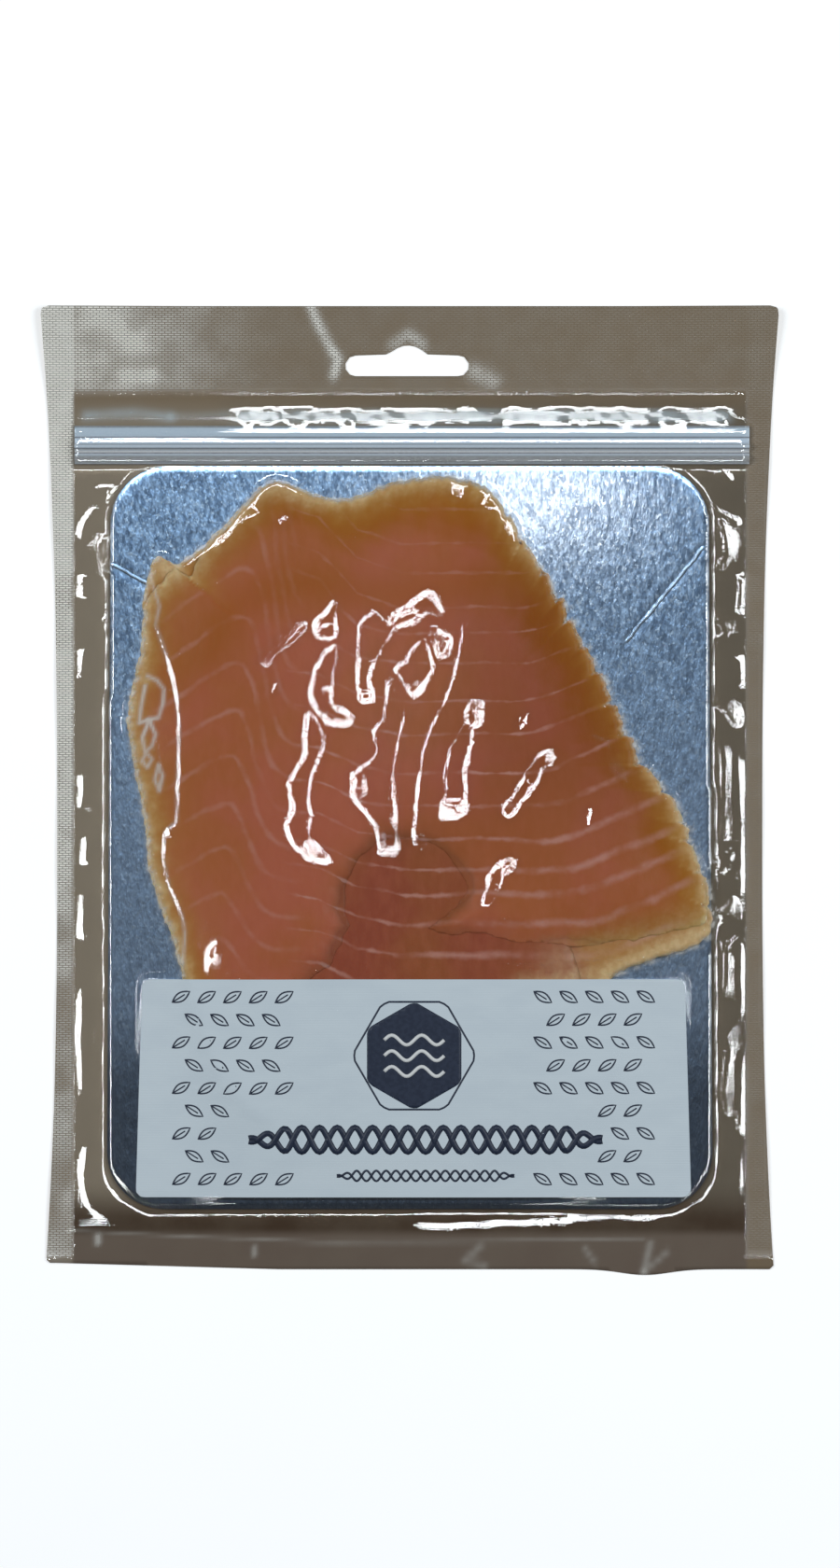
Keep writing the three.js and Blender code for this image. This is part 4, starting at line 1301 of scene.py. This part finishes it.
def weld_share(x, y):
    """1 where the two films are welded and embossed."""
    header = smoothstep(y, HEADER["embossed"] - 0.3, HEADER["embossed"] + 0.3)
    side = smoothstep(np.abs(x), POUCH["inner_half"] - 0.2, POUCH["inner_half"] + 0.2)
    return np.maximum(header, side * smoothstep(y, POUCH["seal_top"] - 8, POUCH["seal_top"] - 6))


# Painted sheen and highlights of the film, drawn as milky patches and lines, such as the loops and
# the crease inside the fish's left rim: how milky, the half width and the route.
SHEEN = [
    (0.5, 1.3, [(-26.5, 129.5), (-22.5, 121), (-19.2, 115.4), (-20.4, 111)]),
    (0.28, 3.2, [(-83, 126), (-72, 119.5)]),
    (0.3, 2.2, [(-75.6, 111.8), (-69.8, 111.4)]),
    (0.5, 1.5, [(-86.5, 100.4), (-74, 101.2), (-64, 100)]),
    (0.25, 1.2, [(-64, 100), (-50, 100.4)]),
    (0.3, 2.4, [(17.6, 112), (22.4, 109.6)]),
    (0.3, 1.6, [(-4.6, 119.4), (-0.4, 122.2), (3.4, 119.4)]),
    (0.35, 1.0, [(19, -122), (14.8, -125.8), (19.8, -127.4)]),
    (0.4, 1.0, [(64.4, -121.4), (62.6, -129)]),
    (0.3, 0.8, [(62.6, -129), (69, -123.6)]),
    (0.3, 0.8, [(47, -122.8), (49.6, -126.4)]),
    (0.8, 0.9, [(-83.5, -119.4), (-83.5, -120.8)]),
    (0.6, 0.8, [(-41.6, -122.4), (-41.6, -124)]),
    (0.95, 0.55, [(-70, 30.6), (-67.4, 29.4), (-65.6, 27), (-65.8, 23.4), (-67, 19.4),
                  (-69.6, 19), (-72.2, 18), (-71.6, 23), (-70.6, 28)]),
    (0.95, 0.55, [(-69.6, 19), (-67.8, 15), (-68.8, 11.8), (-70.6, 10.4), (-71.4, 14),
                  (-69.8, 18)]),
    (0.95, 0.55, [(-70.2, 10), (-68.8, 8.4), (-70, 6.2), (-71.4, 8), (-70.2, 10)]),
    (0.9, 0.55, [(-67, 7), (-66, 4), (-66.8, 0), (-68, 3), (-67, 7)]),
    (0.6, 0.45, [(-69.2, 57), *LEFT_CREASE]),
    (0.3, 0.35, [(-91, -117.8), (-61, -119.4), (-23.5, -120.8), (14, -120.6), (62.8, -120)]),
]


# How milky the film is in its welds, and how much sheen and glare are painted into it in each
# place, before its patches.
HAZE_AND_SHEEN = {
    "weld": 0.055,
    "left_seal_sheen": 0.26,
    "upper_left_sheen": 0.72,  # on top of that
    "right_seal": 0.02,
    "header": 0.36,
    "strip": 0.74,
    "outline": 0.95,
    "glare_veil": 0.045,
    "most": 0.95,
}


def haze_and_sheen_share(x, y):
    """How milky the front film is in its welds, with sheen painted in the loose strip and more to
    the upper left, and glare painted along the fish's outline.
    """
    # Painted sheen: the left seal and the left of the header are made milkier, most towards the
    # upper left.
    sheen_upper_left = smoothstep(-x, 20, 96) * smoothstep(y, -60, 60)
    dull = 0.5 + 0.5 * smoothstep(waves(x, y, 52, 30, 2), -0.5, 0.3)
    left_seal_sheen = HAZE_AND_SHEEN["left_seal_sheen"] + HAZE_AND_SHEEN["upper_left_sheen"] * sheen_upper_left
    seal = smoothstep(-x, 89.6, 91) * left_seal_sheen * dull
    seal = seal + HAZE_AND_SHEEN["right_seal"] * smoothstep(x, 89.6, 91) * dull
    header = HAZE_AND_SHEEN["header"] * smoothstep(y, 105, 108) * smoothstep(-x, 30, 90)
    # Painted sheen across the loose strip above the zip.
    across = np.clip((y - ZIP["top"]) / (HEADER["bottom"] - ZIP["top"]), 0, 1)
    strip = np.sin(math.pi * across) * smoothstep(x, -52, -42) * fade(x, 84, 88)
    # Painted glare: a pale line along the fish's outline, a pale veil round the film's highlights,
    # and the painted highlights listed in SHEEN.
    outline = bell(lower_depth(x, y), 0.1 - 0.006 * x, 0.85) * (label_depth(x, y) < -0.5)
    outline_glare = HAZE_AND_SHEEN["outline"] * outline * np.clip(0.6 + 1.1 * waves(x, y, 47, 3), 0, 1)
    glare_veil = np.exp(-(((x + 5) / 23) ** 2) - ((y - 30) / 30) ** 2)
    painted_glints = outline_glare + HAZE_AND_SHEEN["glare_veil"] * glare_veil
    for share, half_width, route in SHEEN:
        painted_glints = painted_glints + share * bell(path_distance(x, y, route), 0, half_width)
    haze_and_sheen = HAZE_AND_SHEEN["weld"] * weld_share(x, y) + seal + header + HAZE_AND_SHEEN["strip"] * strip + painted_glints
    return np.clip(haze_and_sheen, 0, HAZE_AND_SHEEN["most"])


# How much of its gloss the film loses in each place.
DULLED = {
    "weld": 0.95,
    "on_fish": 0.99,
    "board_edge": 0.85,
    "strip": 0.76,
    "label_edge": 0.9,
    "flat_end": 0.8,
    "ribs": 0.72,
}


def film_shine(x, y, weld, crumple):
    """How much the film mirrors: little in its welds and where it clings, fully in its folds."""
    on_fish = smoothstep(lower_depth(x, y), -4.5, -3.5) * (label_depth(x, y) < 0)
    near_board = bell(board_depth(x, y), -1, 2.2)
    where = {
        "weld": weld,
        "on_fish": on_fish * fade(crumple, 0.05, 0.35),
        "board_edge": near_board * fade(waves(x, y, 46, 7), -0.25, 0.35),
        "strip": bell(y, 100.4, 2.4) * (y > ZIP["top"]),
        "label_edge": bell(label_depth(x, y), -1, 2),
        "flat_end": smoothstep(y, 96.5, 97.5) * fade(x, -54, -47),
        "ribs": smoothstep(y, 87.6, 88.2) * fade(y, 93, 94),
    }
    shine = np.ones(x.shape)
    for key, share in DULLED.items():
        shine = shine * (1 - share * where[key])
    return shine


def make_front_film():
    points, faces = cut_lattice(FILM_X, FILM_Y, film_depth)
    x, y = points.T
    verts = np.column_stack([points, film_height(x, y)])
    weld, crumple = weld_share(x, y), on_film(FILM_CRUMPLE, x, y)
    attributes = {
        "weld": weld,
        "haze_and_sheen": haze_and_sheen_share(x, y),
        "shine": film_shine(x, y, weld, crumple),
        "crumple": crumple,
    }
    obj = make_object("pouch_front_film", verts, faces, clear_film_material(), attributes)
    return place(obj, "film", "pouch")


def make_zip():
    ys = np.unique(np.concatenate([even_lines(ZIP["bottom"], ZIP["top"], 0.2), ZIP["ribs"]]))
    xs = even_lines(ZIP["left"], ZIP["right"], 1.5)
    points, faces = cut_lattice(xs, ys, lambda x, y: np.ones(x.shape))
    base = np.full(len(points), ZIP["base"])
    body = closed_body(points, faces, zip_top(points[:, 1]), base)
    obj = make_object("zip_strip", *body, zip_material())
    sharpen(obj)
    return place(obj, "zip_strip", "zip_closure")


# The dents of the foil's creases: how deep, how wide, and their routes.
DENT_DEPTH, DENT_WIDTH = 0.18, 0.5
DENTS = [(78.5, 65.5), (58, 39.5)], [(-80.2, 60.5), (-70.2, 54.8)]
ROLLED_RIM, RIM_DROP = 0.9, 0.3


def board_top_height(x, y):
    """The foil's top: a rolled rim and two creases."""
    rim = smoothstep(board_depth(x, y), 0, ROLLED_RIM)
    creases = 0.0
    for path in DENTS:
        creases = creases + DENT_DEPTH * bell(path_distance(x, y, path), 0, DENT_WIDTH)
    return BOARD["top_z"] - RIM_DROP * (1 - rim) ** 2 - creases


def make_board():
    points, faces = cut_evenly((-82, -113), (82, 88), 1.0, board_depth)
    base = np.full(len(points), BOARD["base"])
    body = closed_body(points, faces, board_top_height(*points.T), base)
    obj = make_object("foil_board", *body, foil_material())
    sharpen(obj)
    return place(obj, "foil_board", "board")


# Cream-coloured fatty patches of the salmon: how strong, the half width and the route.
PALE_PATCHES = [
    (0.9, 3.4, [(-68, 62), (-63, 58.5)]),
    (0.75, 3.2, [(-41, 80), (-36, 82), (-27, 79), (-20, 78)]),
    (0.5, 3.0, [(-4, 82), (11, 83)]),
    (0.95, 4.0, [(52, -50), (58, -47.5), (68, -43), (79, -38.5)]),
    (0.6, 3.0, [(30, -53), (42, -50.5), (52, -48.5)]),
    (0.3, 5.5, [(40, -46), (54, -42), (66, -39.5), (78, -34)]),
]

# A dark smoked band across the fish.
SMOKED_BAND = [
    (-63.5, 26.75), (-54, 37.5), (-49.25, 45.75), (-42.25, 51.5), (-29.25, 54.75),
    (-9.75, 52.25), (6.25, 53), (22.75, 56.75),
]
BAND_SMOKE, BAND_SPREAD = 0.55, 4.5
# How far in from its rim the fish is smoked, and how much less on the left in reach and strength.
SMOKE_REACH, LEFT_SHORTER, LEFT_WEAKER = 19.0, 10.0, 0.6
# The rim's colours: the strength on the red side, what the pale side adds, and how far in they go.
OCHRE, OCHRE_REACH = (0.7, 0.5), (2.6, 2.4)
CREAM, CREAM_REACH = (0.1, 1.0), 1.9
FRINGE = (0.35, 0.55)
DUSK, TEAR_DUSK = 0.3, 0.4  # over the right half, and along the tear


def smoked_share(x, y, depth, edge_strength):
    """How smoked the flesh is: at its rim, less so on the left, and along a band."""
    off = path_distance(x, y, smooth_path(SMOKED_BAND)) / BAND_SPREAD
    on_left = smoothstep(-np.cos(bearing(x, y)), 0.3, 0.8)
    reach = SMOKE_REACH - LEFT_SHORTER * on_left
    uneven = 3.0 * waves(x, y, 61, 16)
    rim = edge_strength * fade(depth + uneven, 0.3 * reach, reach)
    return np.maximum(rim * (1 - LEFT_WEAKER * on_left), BAND_SMOKE * np.exp(-0.5 * off**2))


def flesh_attributes(points, depth_at, edge_strength, pale_width):
    """What the salmon's material needs to know at each point, on both faces of a slice."""
    x, y = points.T
    is_upper = depth_at is upper_depth
    depth = slice_depth(UPPER_RADII if is_upper else LOWER_RADII, x, y)
    right = smoothstep(x, -34, -27)
    inner = smoothstep(depth, 1.5, 9)
    angle = bearing(x, y)
    pale_side = 1 - smoothstep(np.cos(angle), 0.35, 0.65) * smoothstep(np.sin(angle), -0.25, 0.1)

    def by_side(red, more):
        return red + more * pale_side

    inwards = np.maximum(depth + 0.9 * waves(x, y, 65, 7), 0)
    ochre = by_side(*OCHRE) * np.exp(-inwards / by_side(*OCHRE_REACH))
    cream = by_side(*CREAM) * np.exp(-inwards / CREAM_REACH) * (1 + 0.4 * waves(x, y, 66, 6))
    ragged_depth = depth + 0.4 * waves(x, y, 62, 3)
    fringe = by_side(*FRINGE) * fade(ragged_depth, 0, pale_width)
    dusk = DUSK * smoothstep(x - 0.2 * y, -8, 26) * smoothstep(y, -36, 12)
    for share, half_width, route in PALE_PATCHES:
        patch = share * bell(path_distance(x, y, route) + 0.7 * waves(x, y, 64, 4), 0, half_width)
        cream = np.maximum(cream, patch)
    if is_upper:
        tear = TEAR_DUSK * fade(torn_distance(x, y), -0.3, 4.5)
        dusk = np.maximum(dusk, tear * (1 - 0.75 * smoothstep(x, 8, 30)))
    crowd = density(chevron_phase, x, y)
    values = {
        "row_phase": row_phase(x, y),
        "row_density": density(row_phase, x, y),
        "row_width": 0.55 + 1.2 * smoothstep(x - y, 10, 80),
        "row_share": right * inner * (1 - 0.55 * smoothstep(y, 28, 56)),
        "flank_phase": chevron_phase(x, y),
        "flank_density": crowd,
        "flank_share": (1 - right) * smoothstep(depth, 4, 12) * smoothstep(1 / crowd, 1, 5) * 0.6,
        "smoke": np.clip(smoked_share(x, y, depth, edge_strength), 0, 1),
        "ochre": np.clip(ochre, 0, 1),
        "dusk": dusk,
        "pale": np.clip(np.maximum(fringe, cream), 0, 1),
    }
    return {key: np.tile(value, 2) for key, value in values.items()}


def make_slice(name, node, step, depth_at, top_at, bottom_at, material, edge, pale):
    points, faces = cut_evenly((-78.5, -99), (82, 88), step, depth_at)
    attributes = flesh_attributes(points, depth_at, edge, pale)
    body = closed_body(points, faces, top_at(*points.T), bottom_at(*points.T))
    return place(make_object(name, *body, material, attributes), "salmon", node)


def make_slices():
    make_slice(
        "salmon_lower", "salmon_slice_lower", 0.85, lower_depth, lower_top,
        lambda x, y: np.full(x.shape, LOWER_Z[0]),
        salmon_material("salmon_flesh_lower", *DEEP_FLESH), edge=0.95, pale=1.4,
    )
    make_slice(
        "salmon_middle", "salmon_slice_middle", 1.2, middle_depth, middle_top,
        lambda x, y: np.full(x.shape, MIDDLE_Z[0] + 0.02),
        salmon_material("salmon_flesh_middle", *DEEP_FLESH), edge=0.2, pale=0.3,
    )
    make_slice(
        "salmon_upper", "salmon_slice_upper", 0.75, upper_depth, upper_top, upper_bottom,
        salmon_material("salmon_flesh_upper", *UPPER_FLESH), edge=0.95, pale=1.0,
    )


# ---------------------------------------------------------------- label and its print


def label_underside(x, y):
    return film_height(x, y) + 0.08


def make_label():
    half = LABEL["bottom_half"] + 1
    low = LABEL["centre_x"] - half, LABEL["bottom"] - 1
    high = LABEL["centre_x"] + half, LABEL["top"] + 1
    points, faces = cut_evenly(low, high, 1.2, label_depth)
    under = label_underside(*points.T)
    body = closed_body(points, faces, under + LABEL["thickness"], under)
    obj = make_object("label_sheet", *body, paper_material())
    sharpen(obj)
    return place(obj, "label_paper", "label")


class Print:
    """Ink on the label, as strokes that lie on the paper."""

    THICKNESS = 0.05

    def __init__(self):
        self.points, self.faces = [], []

    def stroke(self, line, width, closed=False):
        """A ribbon along a line."""
        line = np.array(line, float)
        before = np.roll(line, 1, 0) if closed else np.vstack([line[:1], line[:-1]])
        after = np.roll(line, -1, 0) if closed else np.vstack([line[1:], line[-1:]])
        along = after - before
        along /= np.maximum(np.linalg.norm(along, axis=1), 1e-9)[:, None]
        side = np.column_stack([-along[:, 1], along[:, 0]]) * width / 2
        first = len(self.points)
        self.points += (line - side).tolist() + (line + side).tolist()
        count = len(line)
        for i in range(count if closed else count - 1):
            j = (i + 1) % count
            self.faces.append([first + i, first + j, first + count + j, first + count + i])

    def field(self, depth, low, high, step=1.0):
        """A filled shape, where depth(x, y) is positive."""
        points, faces = cut_evenly(low, high, step, depth)
        first = len(self.points)
        self.points += points.tolist()
        self.faces += [[i + first for i in face] for face in faces]

    def build(self, name, material, lift):
        points = np.array(self.points)
        height = label_underside(*points.T) + LABEL["thickness"] + lift
        body = closed_body(points, self.faces, height, height - self.THICKNESS)
        return place(make_object(name, *body, material), "label_paper")


def hexagon_depth(x, y, centre, apothem, radius):
    """The distance inside a hexagon with rounded corners, a corner at the top."""
    dx, dy = x - centre[0], y - centre[1]
    angles = [math.radians(60 * i) for i in range(6)]
    reach = np.max([dx * math.cos(a) + dy * math.sin(a) for a in angles], axis=0)
    corner = (apothem - radius) / math.cos(math.pi / 6) + radius - apothem
    return apothem - np.maximum(reach, np.hypot(dx, dy) - corner)


def hexagon_outline(centre, apothem, steps=72):
    """A line round a hexagon whose corners are cut short by a circle, a corner at the top."""
    line = []
    for angle in np.linspace(0, 2 * math.pi, steps + 1)[:-1]:
        off_side = (angle + math.pi / 6) % (math.pi / 3) - math.pi / 6
        radius = apothem / max(math.cos(off_side), 0.9)
        line.append((centre[0] + radius * math.sin(angle), centre[1] + radius * math.cos(angle)))
    return line


def leaf(ink, x, y, length, width, angle):
    """A small almond leaf with a midrib."""
    turn = np.array([[math.cos(angle), -math.sin(angle)], [math.sin(angle), math.cos(angle)]])
    shares = np.linspace(0, 1, 9)
    arc = np.column_stack([(shares - 0.5) * length, width / 2 * np.sin(math.pi * shares)])
    outline = np.vstack([arc, (arc * [1, -1])[-2:0:-1]])
    ink.stroke(outline @ turn.T + [x, y], 0.42, closed=True)
    rib = np.array([[-0.5 * length, 0], [0.22 * length, 0]])
    ink.stroke(rib @ turn.T + [x, y], 0.36)


BAND_Y, BAND_HALF = -93.3, 47.0  # the plaited band across the label
LEAVES = {"first": (34.5, 4.9), "pitch": (6.9, 6.1), "columns": 5, "rows": 9, "lean": 32}
LEAF_SIZE = (5.6, 2.3)
EMBLEM = {"centre": (1.2, -70.8), "apothem": 12.6, "radius": 3}
EMBLEM_RIM, EMBLEM_BOX = 14.4, ((-14, -86), (17, -55))
WAVE_LINES = {"half": 8, "pitch": 4.2, "height": 1.3, "length": 8, "width": 0.9}


def print_leaves(ink):
    """A panel of leaves in staggered rows at each end of the label."""
    for end in (-1, 1):
        for row in range(LEAVES["rows"]):
            for column in range(LEAVES["columns"] - row % 2):
                off = LEAVES["first"][0] + (column + 0.5 * (row % 2)) * LEAVES["pitch"][0]
                x = LABEL["centre_x"] + end * off
                y = LABEL["bottom"] + LEAVES["first"][1] + row * LEAVES["pitch"][1]
                if off < BAND_HALF + 3 and abs(y - BAND_Y) < 8:
                    continue
                lean = 1 if row % 2 else -1
                leaf(ink, x, y, *LEAF_SIZE, end * lean * math.radians(LEAVES["lean"]))


def print_emblem(ink, light):
    """A hexagon within a thin rim, with three waves across it."""
    ink.field(lambda x, y: hexagon_depth(x, y, **EMBLEM), *EMBLEM_BOX)
    ink.stroke(hexagon_outline(EMBLEM["centre"], EMBLEM_RIM), 0.5, closed=True)
    (x, y), lines = EMBLEM["centre"], WAVE_LINES
    for row in (-1, 0, 1):
        xs = np.linspace(x - lines["half"], x + lines["half"], 33)
        turn = (xs - x) * 2 * math.pi / lines["length"]
        ys = y + row * lines["pitch"] + lines["height"] * np.sin(turn)
        light.stroke(np.column_stack([xs, ys]), lines["width"])


def print_braid(ink, left, right, y, height, count, width):
    """A band of crossing waves."""
    xs = np.linspace(left, right, count * 16 + 1)
    turn = 2 * math.pi * count * (xs - left) / (right - left)
    taper = np.minimum(1, 8 * np.minimum(xs - left, right - xs) / (right - left) + 0.12)
    for side in (-1, 1):
        ink.stroke(np.column_stack([xs, y + side * height / 2 * taper * np.cos(turn)]), width)


def make_print():
    ink, light = Print(), Print()
    print_leaves(ink)
    print_emblem(ink, light)
    print_braid(ink, -43, 51.5, BAND_Y, height=6.6, count=10, width=1.6)
    print_braid(ink, -19.5, 28, -103.0, height=2.8, count=9, width=0.6)
    ink.build("label_print_navy", ink_material("label_ink_navy", *NAVY_INK), 0.03)
    light.build("label_print_white", ink_material("label_ink_white", *WHITE_INK), 0.05)


# ---------------------------------------------------------------- stage

FLOOR_HALF, FLOOR_DROP = 3000.0, 0.2
RING = {
    "inner": 470.0,
    "outer": 720.0,
    "height": 1250.0,
    "centre": (-6.0, 33.0),
    "colour": (0.93, 0.97, 1.0),
    "strength": 46.0,
}
COOL, BLUE = (0.9, 0.96, 1.0), (0.43, 0.68, 1.0)
SOFTBOX_SIZE, SOFTBOX_WATTS = (550, 550), 6.3
PACK_CENTRE, GLARE_SPOT = (0, 0, 0), (32, 76, 0)
SKY_COLOUR, SKY_STRENGTH = (0.84, 0.93, 1.0), 0.1


def make_floor():
    half = FLOOR_HALF
    verts = [(-half, -half, 0), (half, -half, 0), (half, half, 0), (-half, half, 0)]
    floor = make_object("floor", verts, [(0, 1, 2, 3)], floor_material())
    floor.location.z = -FLOOR_DROP * MM


def emission_material(name, colour, strength):
    m = Material(name)
    return m.finish(m.add("Emission", {"Color": colour, "Strength": strength}))


def light_only(emitter, receivers):
    """The emitter lights these pieces and nothing else."""
    group = bpy.data.collections.new(emitter.name + "_receivers")
    for piece in receivers:
        group.objects.link(piece)
    emitter.light_linking.receiver_collection = group


def make_ring_light(receivers, steps=96):
    """A ring round the camera, whose reflections trace the ridges of the film."""
    verts, faces = [], []
    for i in range(steps):
        angle = 2 * math.pi * i / steps
        for radius in (RING["inner"], RING["outer"]):
            off = radius * math.cos(angle), radius * math.sin(angle)
            verts.append((RING["centre"][0] + off[0], RING["centre"][1] + off[1], RING["height"]))
        a, b = 2 * i, 2 * ((i + 1) % steps)
        faces.append((a, b, b + 1, a + 1))
    glow = emission_material("ring_light_glow", RING["colour"], RING["strength"])
    ring = make_object("ring_light", verts, faces, glow)
    ring.visible_camera = False
    ring.visible_diffuse = False
    ring.visible_shadow = False
    light_only(ring, receivers)


def area_light(name, location, target, size, watts, colour, receivers):
    """A lamp that faces a target and lights some pieces."""
    lamp = bpy.data.lights.new(name, "AREA")
    lamp.shape = "RECTANGLE"
    lamp.size, lamp.size_y = (s * MM for s in size)
    lamp.energy = watts
    lamp.color = colour
    obj = bpy.data.objects.new(name, lamp)
    bpy.context.scene.collection.objects.link(obj)
    obj.location = [c * MM for c in location]
    aim = Vector(target) - Vector(location)
    obj.rotation_euler = aim.to_track_quat("-Z", "Y").to_euler()
    obj.visible_camera = False
    light_only(obj, receivers)


def make_lamps(board):
    """Two softboxes light all but the foil, which has a wide blue lamp and a small near one."""
    meshes = [piece for piece in bpy.context.scene.objects if piece.type == "MESH"]
    others = [piece for piece in meshes if piece != board]
    for name, x, y in (("left_softbox", -750, 250), ("right_softbox", 750, 100)):
        area_light(name, (x, y, 900), PACK_CENTRE, SOFTBOX_SIZE, SOFTBOX_WATTS, COOL, others)
    area_light("foil_sky", (-40, 600, 850), PACK_CENTRE, (700, 400), 13.3, BLUE, [board])
    area_light("foil_glare", (36, 86, 75), GLARE_SPOT, (26, 15), 0.0082, WHITE, [board])


def make_world():
    world = bpy.data.worlds.new("studio")
    world.use_nodes = True
    background = world.node_tree.nodes["Background"]
    background.inputs["Color"].default_value = (*SKY_COLOUR, 1.0)
    background.inputs["Strength"].default_value = SKY_STRENGTH
    bpy.context.scene.world = world
    bpy.context.scene.view_settings.view_transform = "Standard"


def make_camera():
    camera = bpy.data.cameras.new("camera")
    camera.sensor_fit = "AUTO"
    camera.sensor_width = SENSOR_MM
    seen_height = PHOTO_SIZE[1] * PHOTO_MM_PER_PIXEL
    camera.lens = SENSOR_MM * CAMERA_HEIGHT / seen_height
    camera.clip_end = 20.0
    obj = bpy.data.objects.new("camera", camera)
    bpy.context.scene.collection.objects.link(obj)
    obj.location = (PHOTO_CENTRE[0] * MM, PHOTO_CENTRE[1] * MM, CAMERA_HEIGHT * MM)
    bpy.context.scene.camera = obj


make_camera()
make_world()
make_floor()
make_back_film()
foil_board = make_board()
make_slices()
make_zip()
front_film = make_front_film()
make_label()
make_print()
make_ring_light([front_film])
make_lamps(foil_board)
